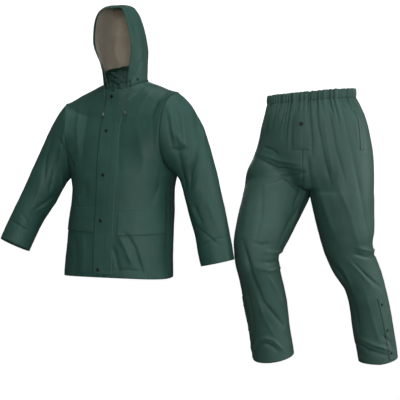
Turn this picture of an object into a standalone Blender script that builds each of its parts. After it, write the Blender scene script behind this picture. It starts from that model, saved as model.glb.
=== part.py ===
"""Hooded rain jacket and rain trousers, standing open as worn, side by side.

Lengths in the tables are millimetres, objects are made in metres, +Z is up and -Y is the side
that shows. The jacket's shape is set in its own axes (x to the wearer's left, front at -y) and
turned about Z; sleeves and legs follow centre lines set in the shared axes. The origin is the
middle of the jacket's neck, where the shoulders of a wearer hold it.
"""
import math
from typing import NamedTuple

import bpy
from mathutils import Matrix, Vector
from mathutils.bvhtree import BVHTree

MM = 0.001
WALL = 1.5
SEAM_GAP = 0.3
LIFT = 1.5
ANKLE_LIFT = 0.9
POCKET_LIFT = 1.8
JACKET_TURN = math.radians(-20.0)
TROUSER_TURN = math.radians(-19.0)
TROUSER_X = 692.0
NECK_OPEN = 28.0

BODY_ROWS = (0.0, 0.1, 0.2, 0.31, 0.42, 0.53, 0.64, 0.75, 0.87, 1.0)
BODY_COLUMNS = 9
ARMHOLE_ROWS = 8
YOKE_ROWS = 5
SLEEVE_ROWS = (0.08, 0.18, 0.3, 0.42, 0.56, 0.72, 0.87, 1.0)
SLEEVE_STEPS = (0.07, 0.16, 0.27, 0.4, 0.54, 0.69, 0.85, 1.0)
HOOD_COLUMNS = 10
HALF_WAIST = 16
LEG_LEVELS = (0.0, 0.07, 0.15, 0.24, 0.33, 0.42, 0.5, 0.57, 0.63, 0.7, 0.79, 0.89, 1.0)
HIP_LEVELS = (1.06, 1.15, 1.27, 1.42, 1.57, 1.72, 1.86, 2.0)
CROTCH_REACH = 0.36
HIP_REACH = 0.9
CROTCH_POWER = 2.6
GATHER_DEPTH = 2.6
GATHER_FROM = 1.55
GATHER_OVER = 0.4
PLAIN_COLUMNS = {1: 1, -1: 6}
BAND_HEIGHT = 34.0
BAND_SHARES = (0.0, 0.5, 1.0)
BAND_SWELL = 0.012

SEAM_DRAW = {"hood": 0.25, "sleeve": 1.3, "trouser": 0.45, "jacket": 0.2}
LEAST_LEAN = 0.12
CORD_RADIUS = 1.5
SNAP_RADIUS = 6.0
SMALL_SNAP_RADIUS = 5.0
SNAP_HEIGHT = 2.4
SNAP_SIDES = 10


class Body(NamedTuple):
    """One level of the jacket's body, in the jacket's own axes."""

    at: float
    mid: float
    side_x: float
    side_y: float
    side_z: float
    front_y: float
    front_z: float
    back_y: float
    back_z: float
    lean: float
    power: float


BODY = (
    Body(0.0, -21, 209, -26, -718, -166, -709, 116, -716, 0.00, 0.86),
    Body(0.31, -19, 203, -15, -604, -160, -602, 130, -604, 0.00, 0.86),
    Body(0.64, -15, 199, 0, -482, -150, -480, 150, -482, 0.00, 0.88),
    Body(0.87, -11, 195, 4, -392, -147, -394, 160, -392, 0.02, 0.88),
    Body(1.0, -9, 206, 5, -332, -143, -337, 161, -332, 0.03, 0.88),
    Body(1.5, -10, 212, -4, -200, -116, -222, 152, -190, 0.06, 0.88),
    Body(2.0, -10, 220, -14, -54, -95, -128, 124, -62, 0.09, 0.92),
    Body(2.2, -8, 192, -11, -44, -91, -107, 117, -42, 0.085, 0.93),
    Body(2.5, -4, 148, -6, -24, -84, -76, 106, -14, 0.07, 0.96),
    Body(3.0, 0, 82, 0, 2, -83, -25, 84, 20, 0.05, 1.0),
)

CAP_SLOPE = {1: -0.45, -1: -0.62}
CAP_REACH = 0.9
ARMPIT_LEAVE = (0.35, -0.9)
ARMPIT_SPREAD = 0.7
START_PULL = 0.27
END_PULL = 0.35
ARMHOLE = {
    "front": {"depth": 104.0, "inset": 26.0},
    "back": {"depth": 96.0, "inset": 12.0},
}

COLLAR_COLUMNS = 20
COLLAR_RISES = (-4.0, 16.0, 40.0, 66.0)
COLLAR_HALF_WIDTH = 79.2
COLLAR_HALF_DEPTH = 81.2
COLLAR_FOOT = (-27.0, 20.0)
COLLAR_TUCK = 0.12
COLLAR_BACK_LOSS = 0.2
COLLAR_TILT = 0.06
NAPE_DROP = 2.0


class Ring(NamedTuple):
    """One ring of a sleeve or a leg: centre in the shared axes, width across, depth, opening."""

    at: float
    x: float
    y: float
    z: float
    wide: float
    deep: float


SLEEVES = {
    1: (
        Ring(0.0, 273, -92, -348, 139, 146),
        Ring(0.2, 289, -96, -414, 134, 140),
        Ring(0.42, 305, -98, -480, 134, 134),
        Ring(0.63, 321, -100, -546, 128, 128),
        Ring(0.85, 333, -106, -612, 130, 124),
        Ring(1.0, 343, -110, -659, 127, 120),
    ),
    -1: (
        Ring(0.0, -297, 58, -354, 136, 150),
        Ring(0.25, -331, 54, -422, 127, 140),
        Ring(0.5, -369, 44, -491, 116, 130),
        Ring(0.77, -401, 30, -559, 117, 122),
        Ring(1.0, -421, 18, -605, 119, 116),
    ),
}


class Arch(NamedTuple):
    """One arch of the hood from the neck to the crown seam, front to nape."""

    at: float
    seam_y: float
    seam_z: float
    bulge: float
    bow: float
    power: float


ARCHES = (
    Arch(0.0, -84, 274, 84, -26, 0.46),
    Arch(0.2, -42, 286, 89, -14, 0.48),
    Arch(0.4, 20, 284, 88, -4, 0.48),
    Arch(0.6, 70, 252, 83, 2, 0.52),
    Arch(0.78, 88, 180, 74, 2, 0.62),
    Arch(0.9, 92, 96, 48, 2, 0.80),
    Arch(1.0, 84, 20, 0, 0, 1.0),
)
HOOD_SHIFT = -13.0

LEGS = {
    1: (
        Ring(0.0, 966, 92, -1056, 150, 172),
        Ring(0.05, 961, 90, -1023, 151, 172),
        Ring(0.2, 942, 80, -929, 156, 176),
        Ring(0.35, 924, 62, -834, 148, 180),
        Ring(0.5, 895, 34, -740, 150, 186),
        Ring(0.61, 858, 8, -670, 168, 200),
        Ring(0.69, 836, -8, -618, 180, 214),
        Ring(0.82, 823, -22, -533, 212, 246),
        Ring(1.0, 805, -35, -410, 236, 284),
    ),
    -1: (
        Ring(0.0, 558, 40, -1032, 156, 172),
        Ring(0.19, 540, 26, -915, 154, 176),
        Ring(0.35, 524, 0, -818, 160, 182),
        Ring(0.5, 504, -34, -724, 152, 192),
        Ring(0.61, 491, -58, -656, 158, 204),
        Ring(0.69, 490, -60, -612, 176, 216),
        Ring(0.83, 518, -34, -526, 206, 244),
        Ring(1.0, 573, 44, -410, 253, 284),
    ),
}


class Hip(NamedTuple):
    """One level of the trousers above the crotch, in the trousers' own axes."""

    at: float
    half_left: float
    half_right: float
    front: float
    back: float
    z: float
    tilt: float
    power: float


HIPS = (
    Hip(1.0, 236, 253, -126, 146, -408, 0.00, 0.90),
    Hip(1.25, 236, 242, -130, 150, -330, 0.02, 0.90),
    Hip(1.5, 226, 205, -131, 150, -236, 0.04, 0.92),
    Hip(1.75, 203, 185, -126, 136, -140, 0.06, 0.94),
    Hip(2.0, 168, 167, -106, 110, -66, 0.08, 0.96),
)
PITCH = {1: -0.05, -1: 0.5}


class Flap(NamedTuple):
    """One level of the storm flap: height and both edges, hem to neck."""

    at: float
    z: float
    left: float
    right: float


STORM_FLAP = (
    Flap(0.0, -700, -115, -43),
    Flap(0.15, -598, -112.6, -41.4),
    Flap(0.28, -509, -108.4, -37.2),
    Flap(0.46, -390, -101, -30),
    Flap(0.62, -281, -98, -22),
    Flap(0.8, -165, -88, -15),
    Flap(0.9, -99, -76, -3),
    Flap(1.0, -36, -65, 10),
)
FLAP_ROWS = 22
FLAP_COLUMNS = 5
FLAP_SNAPS = ((-47, -50), (-66, -176), (-76, -336), (-85, -502), (-95, -681))
HOOD_SNAP = (50, 12)
COLLAR_SNAP = (-32, 40)


class Pocket(NamedTuple):
    """How far round the front a pocket flap runs, its lower edge's levels and its flare."""

    end: float
    low_inside: float
    low_outside: float
    flare: float


POCKETS = {1: Pocket(0.84, 0.43, 0.465, 2.5), -1: Pocket(0.8, 0.46, 0.47, 1.0)}
POCKET_START = 0.125
POCKET_TOP = (0.71, 0.69)
POCKET_ROWS = 4
POCKET_COLUMNS = 10

FLY = (616.0, 674.0, -245.0, -42.0)
FLY_ROWS = 12
FLY_COLUMNS = 5
FLY_LIFT = 1.4
FLY_BUTTON = (645, -150)
FLY_BUTTON_RADIUS = 7.0
WELT_LEVELS = (1.46, 1.84)
WELT_TURNS = (0.3625, 0.396875)
WELT_ROWS = 8
WELT_LIFT = 1.7
TACK_ENDS = (866, 892)
TACK_EDGES = (-266, -261)
TACK_LIFT = 1.0
ANKLE_LEVELS = (0.012, 0.42)
ANKLE_ROWS = 12
ANKLE_SPINS = (0.378, 0.396, 0.414, 0.432)
ANKLE_SNAPS = (0.05, 0.2, 0.37)
ANKLE_SNAP_SPIN = 0.405

EYELET_PROFILE = ((2.4, 0.0), (5.0, 0.0), (4.6, 1.4), (2.6, 1.6))
STOPPER_PROFILE = ((1.9, 0), (3.4, 0), (4.4, 3), (6.2, 9), (6.2, 12), (5.0, 14), (1.9, 14))
STOPPER_GRIP = 12.5
CORD_POINTS = 16
CORD_ROUTES = {
    "right": ((-70, -4, 4.4), (-71, -20, 5.6), (-71, -50, 6.2), (-72, -84, 7.8), (-74, -124, 10)),
    "left": ((22, 6, 4.4), (26, -14, 5.8), (16, -42, 6.2), (8, -66, 7.6), (7, -92, 9.0),
             (7, -118, 10.0)),
}


class Crease(NamedTuple):
    """A soft fold along a short line on the side that shows or the hidden side."""

    face: int
    x0: float
    z0: float
    x1: float
    z1: float
    width: float
    depth: float


FOLDS = (
    Crease(-1, 45, -190, 70, -420, 26, -4.0),
    Crease(-1, 20, -575, 62, -690, 20, 7.0),
    Crease(-1, -4, -590, 28, -672, 22, -6.0),
    Crease(-1, 168, -380, 150, -450, 20, 7.0),
    Crease(-1, 36, -16, 84, -96, 18, 5.0),
    Crease(-1, 118, -50, 92, -140, 20, 5.0),
    Crease(-1, -168, -330, -150, -430, 24, 5.0),
    Crease(-1, 168, -130, 174, -240, 18, 7.0),
    Crease(-1, 198, -120, 208, -232, 18, -6.0),
    Crease(-1, 262, -150, 262, -350, 22, 8.0),
    Crease(-1, -262, -300, -286, -400, 18, 7.0),
    Crease(-1, -306, -250, -304, -350, 18, 6.0),
    Crease(-1, -300, -430, -340, -486, 16, 6.0),
    Crease(-1, 262, -466, 286, -530, 18, 5.0),
    Crease(1, 60, -150, 96, -400, 30, 6.0),
    Crease(1, -90, -160, -70, -420, 32, 6.0),
    Crease(1, -20, -420, 20, -660, 34, 5.0),
    Crease(1, 270, -200, 300, -380, 20, 6.0),
    Crease(1, -280, -200, -320, -400, 20, 6.0),
    Crease(-1, 716, -130, 742, -350, 20, 7.0),
    Crease(-1, 760, -130, 790, -300, 18, 6.0),
    Crease(-1, 738, -150, 764, -330, 18, -4.0),
    Crease(-1, 540, -322, 640, -340, 15, 6.0),
    Crease(-1, 556, -366, 652, -340, 15, 6.0),
    Crease(-1, 520, -250, 580, -262, 16, 6.0),
    Crease(-1, 480, -618, 570, -664, 18, 8.0),
    Crease(-1, 468, -640, 545, -850, 22, 6.0),
    Crease(-1, 510, -676, 592, -668, 14, 6.0),
    Crease(-1, 480, -960, 548, -944, 14, 5.0),
    Crease(-1, 548, -944, 590, -970, 14, 5.0),
    Crease(-1, 850, -640, 940, -664, 16, 7.0),
    Crease(-1, 780, -690, 900, -800, 20, 6.0),
    Crease(-1, 860, -985, 960, -1012, 14, 5.0),
    Crease(1, 540, -330, 640, -350, 18, 6.0),
    Crease(1, 760, -320, 880, -350, 18, 6.0),
    Crease(1, 480, -640, 590, -650, 18, 7.0),
    Crease(1, 780, -640, 930, -660, 18, 7.0),
    Crease(1, 700, -120, 690, -300, 22, 5.0),
    Crease(1, 850, -120, 860, -280, 20, 5.0),
)


def smooth(rows, column, at):
    """Read a table's column between its rows on a smooth curve."""
    knots = [row.at for row in rows]
    values = [getattr(row, column) for row in rows]
    last = len(knots) - 1
    k = 0
    while k < last - 1 and at > knots[k + 1]:
        k += 1

    def slope(i):
        lo, hi = max(i - 1, 0), min(i + 1, last)
        return (values[hi] - values[lo]) / (knots[hi] - knots[lo])

    span = knots[k + 1] - knots[k]
    t = (at - knots[k]) / span
    a, b = slope(k) * span, slope(k + 1) * span
    return ((2 * t ** 3 - 3 * t * t + 1) * values[k] + (t ** 3 - 2 * t * t + t) * a
            + (3 * t * t - 2 * t ** 3) * values[k + 1] + (t ** 3 - t * t) * b)


def mix(a, b, t):
    """A value t of the way from a to b."""
    return a + (b - a) * t


def ease(t):
    """0 to 1 with soft ends."""
    t = min(1.0, max(0.0, t))
    return t * t * (3 - 2 * t)


def turned(point, angle, shift=0.0):
    """Turn a garment's own point into the shared axes."""
    spun = Matrix.Rotation(angle, 3, "Z") @ Vector(point)
    return spun + Vector((shift, 0, 0))


def body_side(level, face, side):
    """The edge of a body panel: side seam, armhole, then shoulder seam."""
    x = smooth(BODY, "side_x", level)
    y = smooth(BODY, "side_y", level)
    z = smooth(BODY, "side_z", level)
    if 1.0 < level < 2.0:
        lift = (1 - math.cos(math.pi * (level - 1.0))) / 2
        round_ = math.sin(math.pi * (level - 1.0))
        hole = ARMHOLE[face]
        forward = -1 if face == "front" else 1
        x = mix(BODY[4].side_x, BODY[6].side_x, lift) - hole["inset"] * round_
        y = mix(BODY[4].side_y, BODY[6].side_y, lift) + forward * hole["depth"] * round_
        z = mix(BODY[4].side_z, BODY[6].side_z, lift)
    return Vector((side * x, y, z))


def body_point(turn, level, face, side):
    """A point of the body: turn 0 at the middle of a face, 1 at its side."""
    edge = body_side(level, face, side)
    power = smooth(BODY, "power", level)
    out = math.sin(turn * math.pi / 2) ** power
    mid = max(0.0, math.cos(turn * math.pi / 2)) ** power
    x = edge.x * out
    y = mix(edge.y, smooth(BODY, face + "_y", level), mid)
    z = mix(edge.z, smooth(BODY, face + "_z", level), mid * mid)
    z += smooth(BODY, "lean", level) * x
    x += smooth(BODY, "mid", level)
    return turned((x, y, z), JACKET_TURN)


def ring_frame(rings, at, side, angle):
    """Centre, outward and forward axes of a ring square to its centre line."""
    centre = Vector([smooth(rings, c, at) for c in ("x", "y", "z")])
    ahead = Vector([smooth(rings, c, at + 0.01) - smooth(rings, c, at - 0.01)
                    for c in ("x", "y", "z")]).normalized()
    out = turned((side, 0, 0), angle)
    out = (out - ahead * out.dot(ahead)).normalized()
    front = turned((0, -1, 0), angle)
    front = front - ahead * front.dot(ahead)
    front = (front - out * front.dot(out)).normalized()
    return centre, out, front


def ring_point(rings, at, side, spin, angle):
    """A point of a ring: spin 0 inside, a quarter at the front, a half outside."""
    centre, out, front = ring_frame(rings, at, side, angle)
    a = spin * 2 * math.pi
    wide, deep = smooth(rings, "wide", at) / 2, smooth(rings, "deep", at) / 2
    return centre - out * (wide * math.cos(a)) + front * (deep * math.sin(a))


def sleeve_grid(side, count):
    """Rings of a sleeve from the armhole to the cuff."""
    rings = SLEEVES[side]
    grid = []
    hole = []
    for j in range(count):
        spin = j / count
        level = 1.0 + (spin * 2 if spin <= 0.5 else 2 - spin * 2)
        face = "front" if spin <= 0.5 else "back"
        hole.append(body_point(1.0, level, face, side))
    grid.append(hole)
    for step in SLEEVE_STEPS:
        row = []
        for j in range(count):
            spin = j / count
            start, end = hole[j], ring_point(rings, 0.0, side, spin, JACKET_TURN)
            reach = (end - start).length
            top = (1 - math.cos(spin * 2 * math.pi)) / 2
            leave = turned((side * mix(ARMPIT_LEAVE[0], CAP_REACH, top), 0.1,
                            mix(ARMPIT_LEAVE[1], CAP_SLOPE[side], top)), JACKET_TURN)
            radial = Vector((start.x, start.y, 0.0)).normalized()
            leave += radial * (ARMPIT_SPREAD * (1 - top))
            below = Vector([smooth(rings, c, 0.02) - smooth(rings, c, 0.0)
                            for c in ("x", "y", "z")]).normalized()
            a = start + leave.normalized() * (reach * START_PULL)
            b = end - below * (reach * END_PULL)
            row.append(start * (1 - step) ** 3 + a * (3 * step * (1 - step) ** 2)
                       + b * (3 * step * step * (1 - step)) + end * step ** 3)
        grid.append(row)
    for at in SLEEVE_ROWS:
        grid.append([ring_point(rings, at, side, j / count, JACKET_TURN) for j in range(count)])
    return grid


def neck_point(degrees, side):
    """The neck seam at an angle from the middle front."""
    if degrees <= 90:
        return body_point(degrees / 90, 3.0, "front", side)
    return body_point((180 - degrees) / 90, 3.0, "back", side)


def hood_angles():
    """Angles of the arches' feet round the neck; they share the body's columns."""
    step = 90 / BODY_COLUMNS
    first = NECK_OPEN
    feet = [first] + [step * k for k in range(1, 2 * BODY_COLUMNS + 1) if step * k > first + 3]
    return feet


def hood_point(foot_at, share, side):
    """A point of the hood on the arch over one foot, share 0 at the neck, 1 at the seam."""
    f = (foot_at - NECK_OPEN) / (180 - NECK_OPEN)
    foot = turned(neck_point(foot_at, side), -JACKET_TURN)
    a = share * math.pi / 2
    wide = mix(abs(foot.x), smooth(ARCHES, "bulge", f), ease(share / 0.4))
    x = side * wide * max(0.0, math.cos(a)) ** smooth(ARCHES, "power", f)
    rise = math.sin(a)
    y = mix(foot.y, smooth(ARCHES, "seam_y", f), rise * rise)
    y += smooth(ARCHES, "bow", f) * math.sin(2 * a)
    z = mix(foot.z, smooth(ARCHES, "seam_z", f), rise)
    if share >= 1.0:
        x = 0.0
    x += HOOD_SHIFT * ease(share / 0.7) * ease((1 - f) / 0.3)
    return turned((x, y, z), JACKET_TURN)


def hip_half(level, j, half_count, side):
    """A point of half a level above the crotch, j from the front middle to the back middle."""
    beta = math.pi * j / (2 * half_count)
    outside = abs(math.sin(beta))
    rise = min(1.0, (level - 1.0) / mix(CROTCH_REACH, HIP_REACH, outside))
    arch = (1 - (1 - rise) ** CROTCH_POWER) ** (1 / CROTCH_POWER)
    drop = mix(arch, ease(rise), outside)
    power = smooth(HIPS, "power", level)
    half = smooth(HIPS, "half_left" if side == 1 else "half_right", level)
    face = "front" if j <= half_count else "back"
    mid_y = smooth(HIPS, face, level)
    x = half * abs(math.sin(beta)) ** power
    y = mid_y * abs(math.cos(beta)) ** power
    tube = -math.cos(math.pi * j / half_count)
    oval_x = half / 2 * (1 + tube)
    oval_y = mid_y * abs(math.sin(math.pi * j / half_count))
    x, y = mix(oval_x, x, drop), mix(oval_y, y, drop)
    z = smooth(HIPS, "z", level) + smooth(HIPS, "tilt", level) * side * x
    z -= PITCH[side] * y * ease(x / 90) * ease((1.5 - level) / 0.5)
    if j in (0, 2 * half_count):
        x = 0.0
    return turned((side * x, y, z), TROUSER_TURN, TROUSER_X)


def leg_grid(side):
    """Rings of one leg from the ankle to the waist, front inside round to back inside."""
    rings = LEGS[side]
    grid = []
    for level in LEG_LEVELS:
        row = []
        for j in range(2 * HALF_WAIST + 1):
            point = ring_point(rings, level, side, j / (2 * HALF_WAIST), TROUSER_TURN)
            weight = ease((level - 0.8) / 0.2)
            if weight > 0:
                point = mix(point, hip_half(1.0, j, HALF_WAIST, side), weight)
            row.append(point)
        grid.append(row)
    for level in HIP_LEVELS:
        grid.append([hip_half(level, j, HALF_WAIST, side) for j in range(2 * HALF_WAIST + 1)])
    return grid


def gathered(grid, side):
    """Push every second column near the waist in, as an elastic casing gathers it."""
    rows = len(grid)
    for i in range(rows):
        level = (LEG_LEVELS + HIP_LEVELS)[i]
        fade = ease((level - GATHER_FROM) / GATHER_OVER)
        if fade <= 0:
            continue
        for j in range(1, 2 * HALF_WAIST):
            if j % 2 == 0 or j <= PLAIN_COLUMNS[side]:
                continue
            axis = grid[i][0].lerp(grid[i][-1], 0.5)
            inward = axis - grid[i][j]
            inward.z = 0
            uneven = 0.75 + 0.5 * abs(math.sin(j * 1.7 + side))
            grid[i][j] = grid[i][j] + inward.normalized() * (GATHER_DEPTH * fade * uneven)
    return grid


class Panel:
    """A cloth piece as a grid of points on its outer face."""

    def __init__(self, name, grid, flip=False, wrap=False):
        self.name = name
        self.grid = grid
        self.flip = flip
        self.wrap = wrap
        self.normals = None
        self.own = None

    def triangles(self):
        """Corner places of every triangle, outward order, degenerate ones left out."""
        rows, columns = len(self.grid), len(self.grid[0])
        found = []
        for i in range(rows - 1):
            for j in range(columns if self.wrap else columns - 1):
                k = (j + 1) % columns
                a, b, c, d = (i, j), (i, k), (i + 1, k), (i + 1, j)
                pa, pb, pc, pd = (self.grid[r][s] for r, s in (a, b, c, d))
                if (pa - pc).length <= (pb - pd).length:
                    pair = ((a, b, c), (a, c, d))
                else:
                    pair = ((a, b, d), (b, c, d))
                for tri in pair:
                    corners = [self.grid[r][s] for r, s in tri]
                    area = (corners[1] - corners[0]).cross(corners[2] - corners[0]).length
                    if area > 1e-4:
                        found.append(tri[::-1] if self.flip else tri)
        return found


def place_key(point):
    """A welding key for points that share a place."""
    return (round(point.x, 3), round(point.y, 3), round(point.z, 3))


def weld_normals(panels):
    """Give every panel smooth normals shared across seams."""
    total = {}
    for panel in panels:
        own = {}
        for tri in panel.triangles():
            a, b, c = (panel.grid[r][s] for r, s in tri)
            normal = (b - a).cross(c - a)
            for point in (a, b, c):
                key = place_key(point)
                total[key] = total.get(key, Vector()) + normal
                own[key] = own.get(key, Vector()) + normal
        panel.own = [[own.get(place_key(p), Vector((0, 0, 1))).normalized() for p in row]
                     for row in panel.grid]
    for panel in panels:
        panel.normals = [[total.get(place_key(p), Vector((0, 0, 1))).normalized() for p in row]
                         for row in panel.grid]


def fold_cloth(panels):
    """Press the large folds into welded panels."""
    weld_normals(panels)
    for panel in panels:
        for i, row in enumerate(panel.grid):
            for j, point in enumerate(row):
                normal = panel.normals[i][j]
                push = 0.0
                for fold in FOLDS:
                    facing = normal.y * fold.face
                    if facing <= 0.1:
                        continue
                    ax, az = fold.x1 - fold.x0, fold.z1 - fold.z0
                    span = ax * ax + az * az
                    t = ((point.x - fold.x0) * ax + (point.z - fold.z0) * az) / span
                    if t < -0.3 or t > 1.3:
                        continue
                    off = (point.x - fold.x0 - ax * t, point.z - fold.z0 - az * t)
                    away = math.hypot(*off) / fold.width
                    ends = ease(min(t + 0.3, 1.3 - t) / 0.4)
                    push -= fold.depth * math.exp(-away * away) * ends * min(1.0, facing * 2)
                row[j] = point + normal * push
    weld_normals(panels)


def slot(name, colour, rough, metal=0.0):
    """A plain Principled material."""
    material = bpy.data.materials.get(name)
    if material is None:
        material = bpy.data.materials.new(name)
        material.use_nodes = True
        shader = material.node_tree.nodes["Principled BSDF"]
        shader.inputs["Base Color"].default_value = (*colour, 1.0)
        shader.inputs["Roughness"].default_value = rough
        shader.inputs["Metallic"].default_value = metal
    return material


def make_object(name, points, faces, material):
    """One named mesh object, given in millimetres."""
    mesh = bpy.data.meshes.new(name)
    mesh.from_pydata([tuple(p * MM) for p in points], [], faces)
    mesh.validate()
    mesh.materials.append(material)
    obj = bpy.data.objects.new(name, mesh)
    bpy.context.scene.collection.objects.link(obj)
    return obj


def walled(name, outer, inner, triangles, material):
    """Close an outer and an inner face with walls along their free edges."""
    index, points = {}, []
    for tri in triangles:
        for corner in tri:
            key = place_key(outer[corner])
            if key not in index:
                index[key] = len(points)
                points.append((outer[corner], inner[corner]))
    count = len(points)
    faces, edges = [], {}
    for tri in triangles:
        ids = [index[place_key(outer[corner])] for corner in tri]
        if len(set(ids)) < 3:
            continue
        faces.append(tuple(ids))
        faces.append(tuple(i + count for i in reversed(ids)))
        for a, b in zip(ids, ids[1:] + ids[:1]):
            edges[(a, b)] = True
    for a, b in edges:
        if (b, a) not in edges:
            faces.append((b, a, a + count))
            faces.append((b, a + count, b + count))
    places = [pair[0] for pair in points] + [pair[1] for pair in points]
    return make_object(name, places, faces, material)


def cloth(panel, material, wall=WALL, seams=("first", "last", "left", "right"),
          half=SEAM_GAP / 2):
    """Turn a panel into a closed wall, drawn back half a seam gap at its seams."""
    outer, inner, known = {}, {}, {}
    rows, columns = len(panel.grid), len(panel.grid[0])
    for i in range(rows):
        for j in range(columns):
            place = panel.grid[i][j]
            if place_key(place) in known:
                outer[(i, j)], inner[(i, j)] = known[place_key(place)]
                continue
            welded, own = panel.normals[i][j], panel.own[i][j]
            inward = Vector()
            if "first" in seams and i == 0:
                inward += (panel.grid[1][j] - place).normalized()
            if "last" in seams and i == rows - 1:
                inward += (panel.grid[-2][j] - place).normalized()
            if not panel.wrap and "left" in seams and j == 0:
                inward += (panel.grid[i][1] - place).normalized()
            if not panel.wrap and "right" in seams and j == columns - 1:
                inward += (panel.grid[i][-2] - place).normalized()
            lean = max(LEAST_LEAN, welded.dot(own))
            point = place + inward * (half / lean)
            valley = inward.dot(welded) > 0.02
            through = own if valley or panel.wrap else welded / max(0.7, lean)
            outer[(i, j)] = point
            inner[(i, j)] = point - through * wall
            known[place_key(place)] = (outer[(i, j)], inner[(i, j)])
    return walled(panel.name, outer, inner, panel.triangles(), material)


class Skin:
    """The outer faces of some panels, to lay smaller pieces on."""

    def __init__(self, panels):
        self.points, self.normals, tris = [], [], []
        for panel in panels:
            base = len(self.points)
            columns = len(panel.grid[0])
            for row, normals in zip(panel.grid, panel.normals):
                self.points.extend(row)
                self.normals.extend(normals)
            tris.extend([tuple(base + r * columns + s for r, s in tri)
                         for tri in panel.triangles()])
        self.tris = tris
        self.tree = BVHTree.FromPolygons(self.points, tris)

    def at(self, x, z, face=-1):
        """The point and smooth normal found straight behind x, z."""
        start = Vector((x, 3000.0 * face, z))
        place, flat, number, _ = self.tree.ray_cast(start, Vector((0, -face, 0)))
        if place is None:
            raise ValueError(f"nothing at {x:.0f}, {z:.0f}")
        return place, self.normal_near(place, number)

    def normal_near(self, place, number):
        """Blend a triangle's corner normals at a place."""
        corners = self.tris[number]
        total = Vector()
        for k in corners:
            away = (self.points[k] - place).length + 0.5
            total += self.normals[k] / away
        return total.normalized()


def lay(name, pairs, material, lift=LIFT, wall=WALL, flip=False, flare=0.0):
    """A flat piece lying on cloth: rows of (point, normal) pairs moved out."""
    rows = len(pairs)
    outer, inner = {}, {}
    grid = []
    for i, row in enumerate(pairs):
        line = []
        for j, (point, normal) in enumerate(row):
            extra = flare * (1 - i / (rows - 1)) ** 2
            inner[(i, j)] = point + normal * (lift + extra)
            outer[(i, j)] = point + normal * (lift + extra + wall)
            line.append(outer[(i, j)])
        grid.append(line)
    return walled(name, outer, inner, Panel(name, grid, flip).triangles(), material)


def turned_solid(name, place, axis, profile, sides, material):
    """A solid of revolution about an axis: profile rows of (radius, height)."""
    axis = axis.normalized()
    side = axis.orthogonal().normalized()
    other = axis.cross(side)
    points, faces = [], []
    closed = profile[0][0] > 0 and profile[-1][0] > 0
    rings = []
    for radius, height in profile:
        if radius <= 0:
            rings.append([len(points)])
            points.append(place + axis * height)
            continue
        ring = []
        for k in range(sides):
            a = 2 * math.pi * k / sides
            ring.append(len(points))
            points.append(place + axis * height + side * (radius * math.cos(a))
                          + other * (radius * math.sin(a)))
        rings.append(ring)
    pairs = list(zip(rings, rings[1:] + rings[:1])) if closed else list(zip(rings, rings[1:]))
    for low, high in pairs:
        for k in range(sides):
            m = (k + 1) % sides
            if len(low) == 1:
                faces.append((low[0], high[m], high[k]))
            elif len(high) == 1:
                faces.append((low[k], low[m], high[0]))
            else:
                faces.append((low[k], low[m], high[m]))
                faces.append((low[k], high[m], high[k]))
    return make_object(name, points, faces, material)


def snap(name, place, normal, material, radius=SNAP_RADIUS, lift=0.4):
    """A press snap cap standing on cloth."""
    profile = [(0, 0), (radius, 0), (radius, SNAP_HEIGHT * 0.5), (radius * 0.8, SNAP_HEIGHT),
               (radius * 0.4, SNAP_HEIGHT * 0.75), (0, SNAP_HEIGHT * 0.75)]
    return turned_solid(name, place + normal * lift, normal, profile, SNAP_SIDES, material)


def cord(name, path, radius, material):
    """A round cord along a path of points."""
    data = bpy.data.curves.new(name, "CURVE")
    data.dimensions = "3D"
    data.bevel_depth = radius * MM
    data.bevel_resolution = 2
    data.use_fill_caps = True
    line = data.splines.new("POLY")
    line.points.add(len(path) - 1)
    for spot, point in zip(line.points, path):
        spot.co = (*(point * MM), 1.0)
    data.materials.append(material)
    obj = bpy.data.objects.new(name, data)
    bpy.context.scene.collection.objects.link(obj)
    return obj


def clear_scene():
    """Start with nothing."""
    for obj in list(bpy.data.objects):
        bpy.data.objects.remove(obj, do_unlink=True)


def jacket_panels():
    """The jacket's body, sleeves and hood as welded panels."""
    levels = list(BODY_ROWS)
    levels += [1.0 + k / ARMHOLE_ROWS for k in range(1, ARMHOLE_ROWS + 1)]
    levels += [2.0 + k / YOKE_ROWS for k in range(1, YOKE_ROWS + 1)]
    n = BODY_COLUMNS
    halves = {}
    for side in (1, -1):
        for face in ("front", "back"):
            halves[(face, side)] = [[body_point(k / n, level, face, side) for k in range(n + 1)]
                                    for level in levels]
    left = Panel("jacket_front_left", halves[("front", 1)])
    right = Panel("jacket_front_right", [row[::-1] for row in halves[("front", -1)]])
    back = Panel("jacket_back", [a[::-1] + b[1:] for a, b in
                                 zip(halves[("back", 1)], halves[("back", -1)])])
    sleeves = [Panel("sleeve_left" if side == 1 else "sleeve_right",
                     sleeve_grid(side, 2 * ARMHOLE_ROWS), flip=side == 1, wrap=True)
               for side in (1, -1)]
    hoods = []
    for side in (1, -1):
        grid = [[hood_point(foot, k / HOOD_COLUMNS, side) for k in range(HOOD_COLUMNS + 1)]
                for foot in hood_angles()]
        hoods.append(Panel("hood_left" if side == 1 else "hood_right", grid, flip=side == 1))
    return [left, right, back] + sleeves + hoods


def collar_panel():
    """The stand collar inside the hood."""
    grid = []
    for rise in COLLAR_RISES:
        row = []
        tuck = 1 - COLLAR_TUCK * max(0.0, rise) / COLLAR_RISES[-1]
        for k in range(COLLAR_COLUMNS):
            a = 2 * math.pi * k / COLLAR_COLUMNS
            behind = (1 - math.cos(a)) / 2
            x, y = COLLAR_HALF_WIDTH * math.sin(a), 1 - COLLAR_HALF_DEPTH * math.cos(a)
            z = mix(*COLLAR_FOOT, behind) + rise * (1 - COLLAR_BACK_LOSS * behind)
            if behind > 0.51:
                z -= NAPE_DROP
            row.append(turned((x * tuck, y * tuck, z + COLLAR_TILT * x), JACKET_TURN))
        grid.append(row)
    return Panel("collar", grid, wrap=True)


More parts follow.
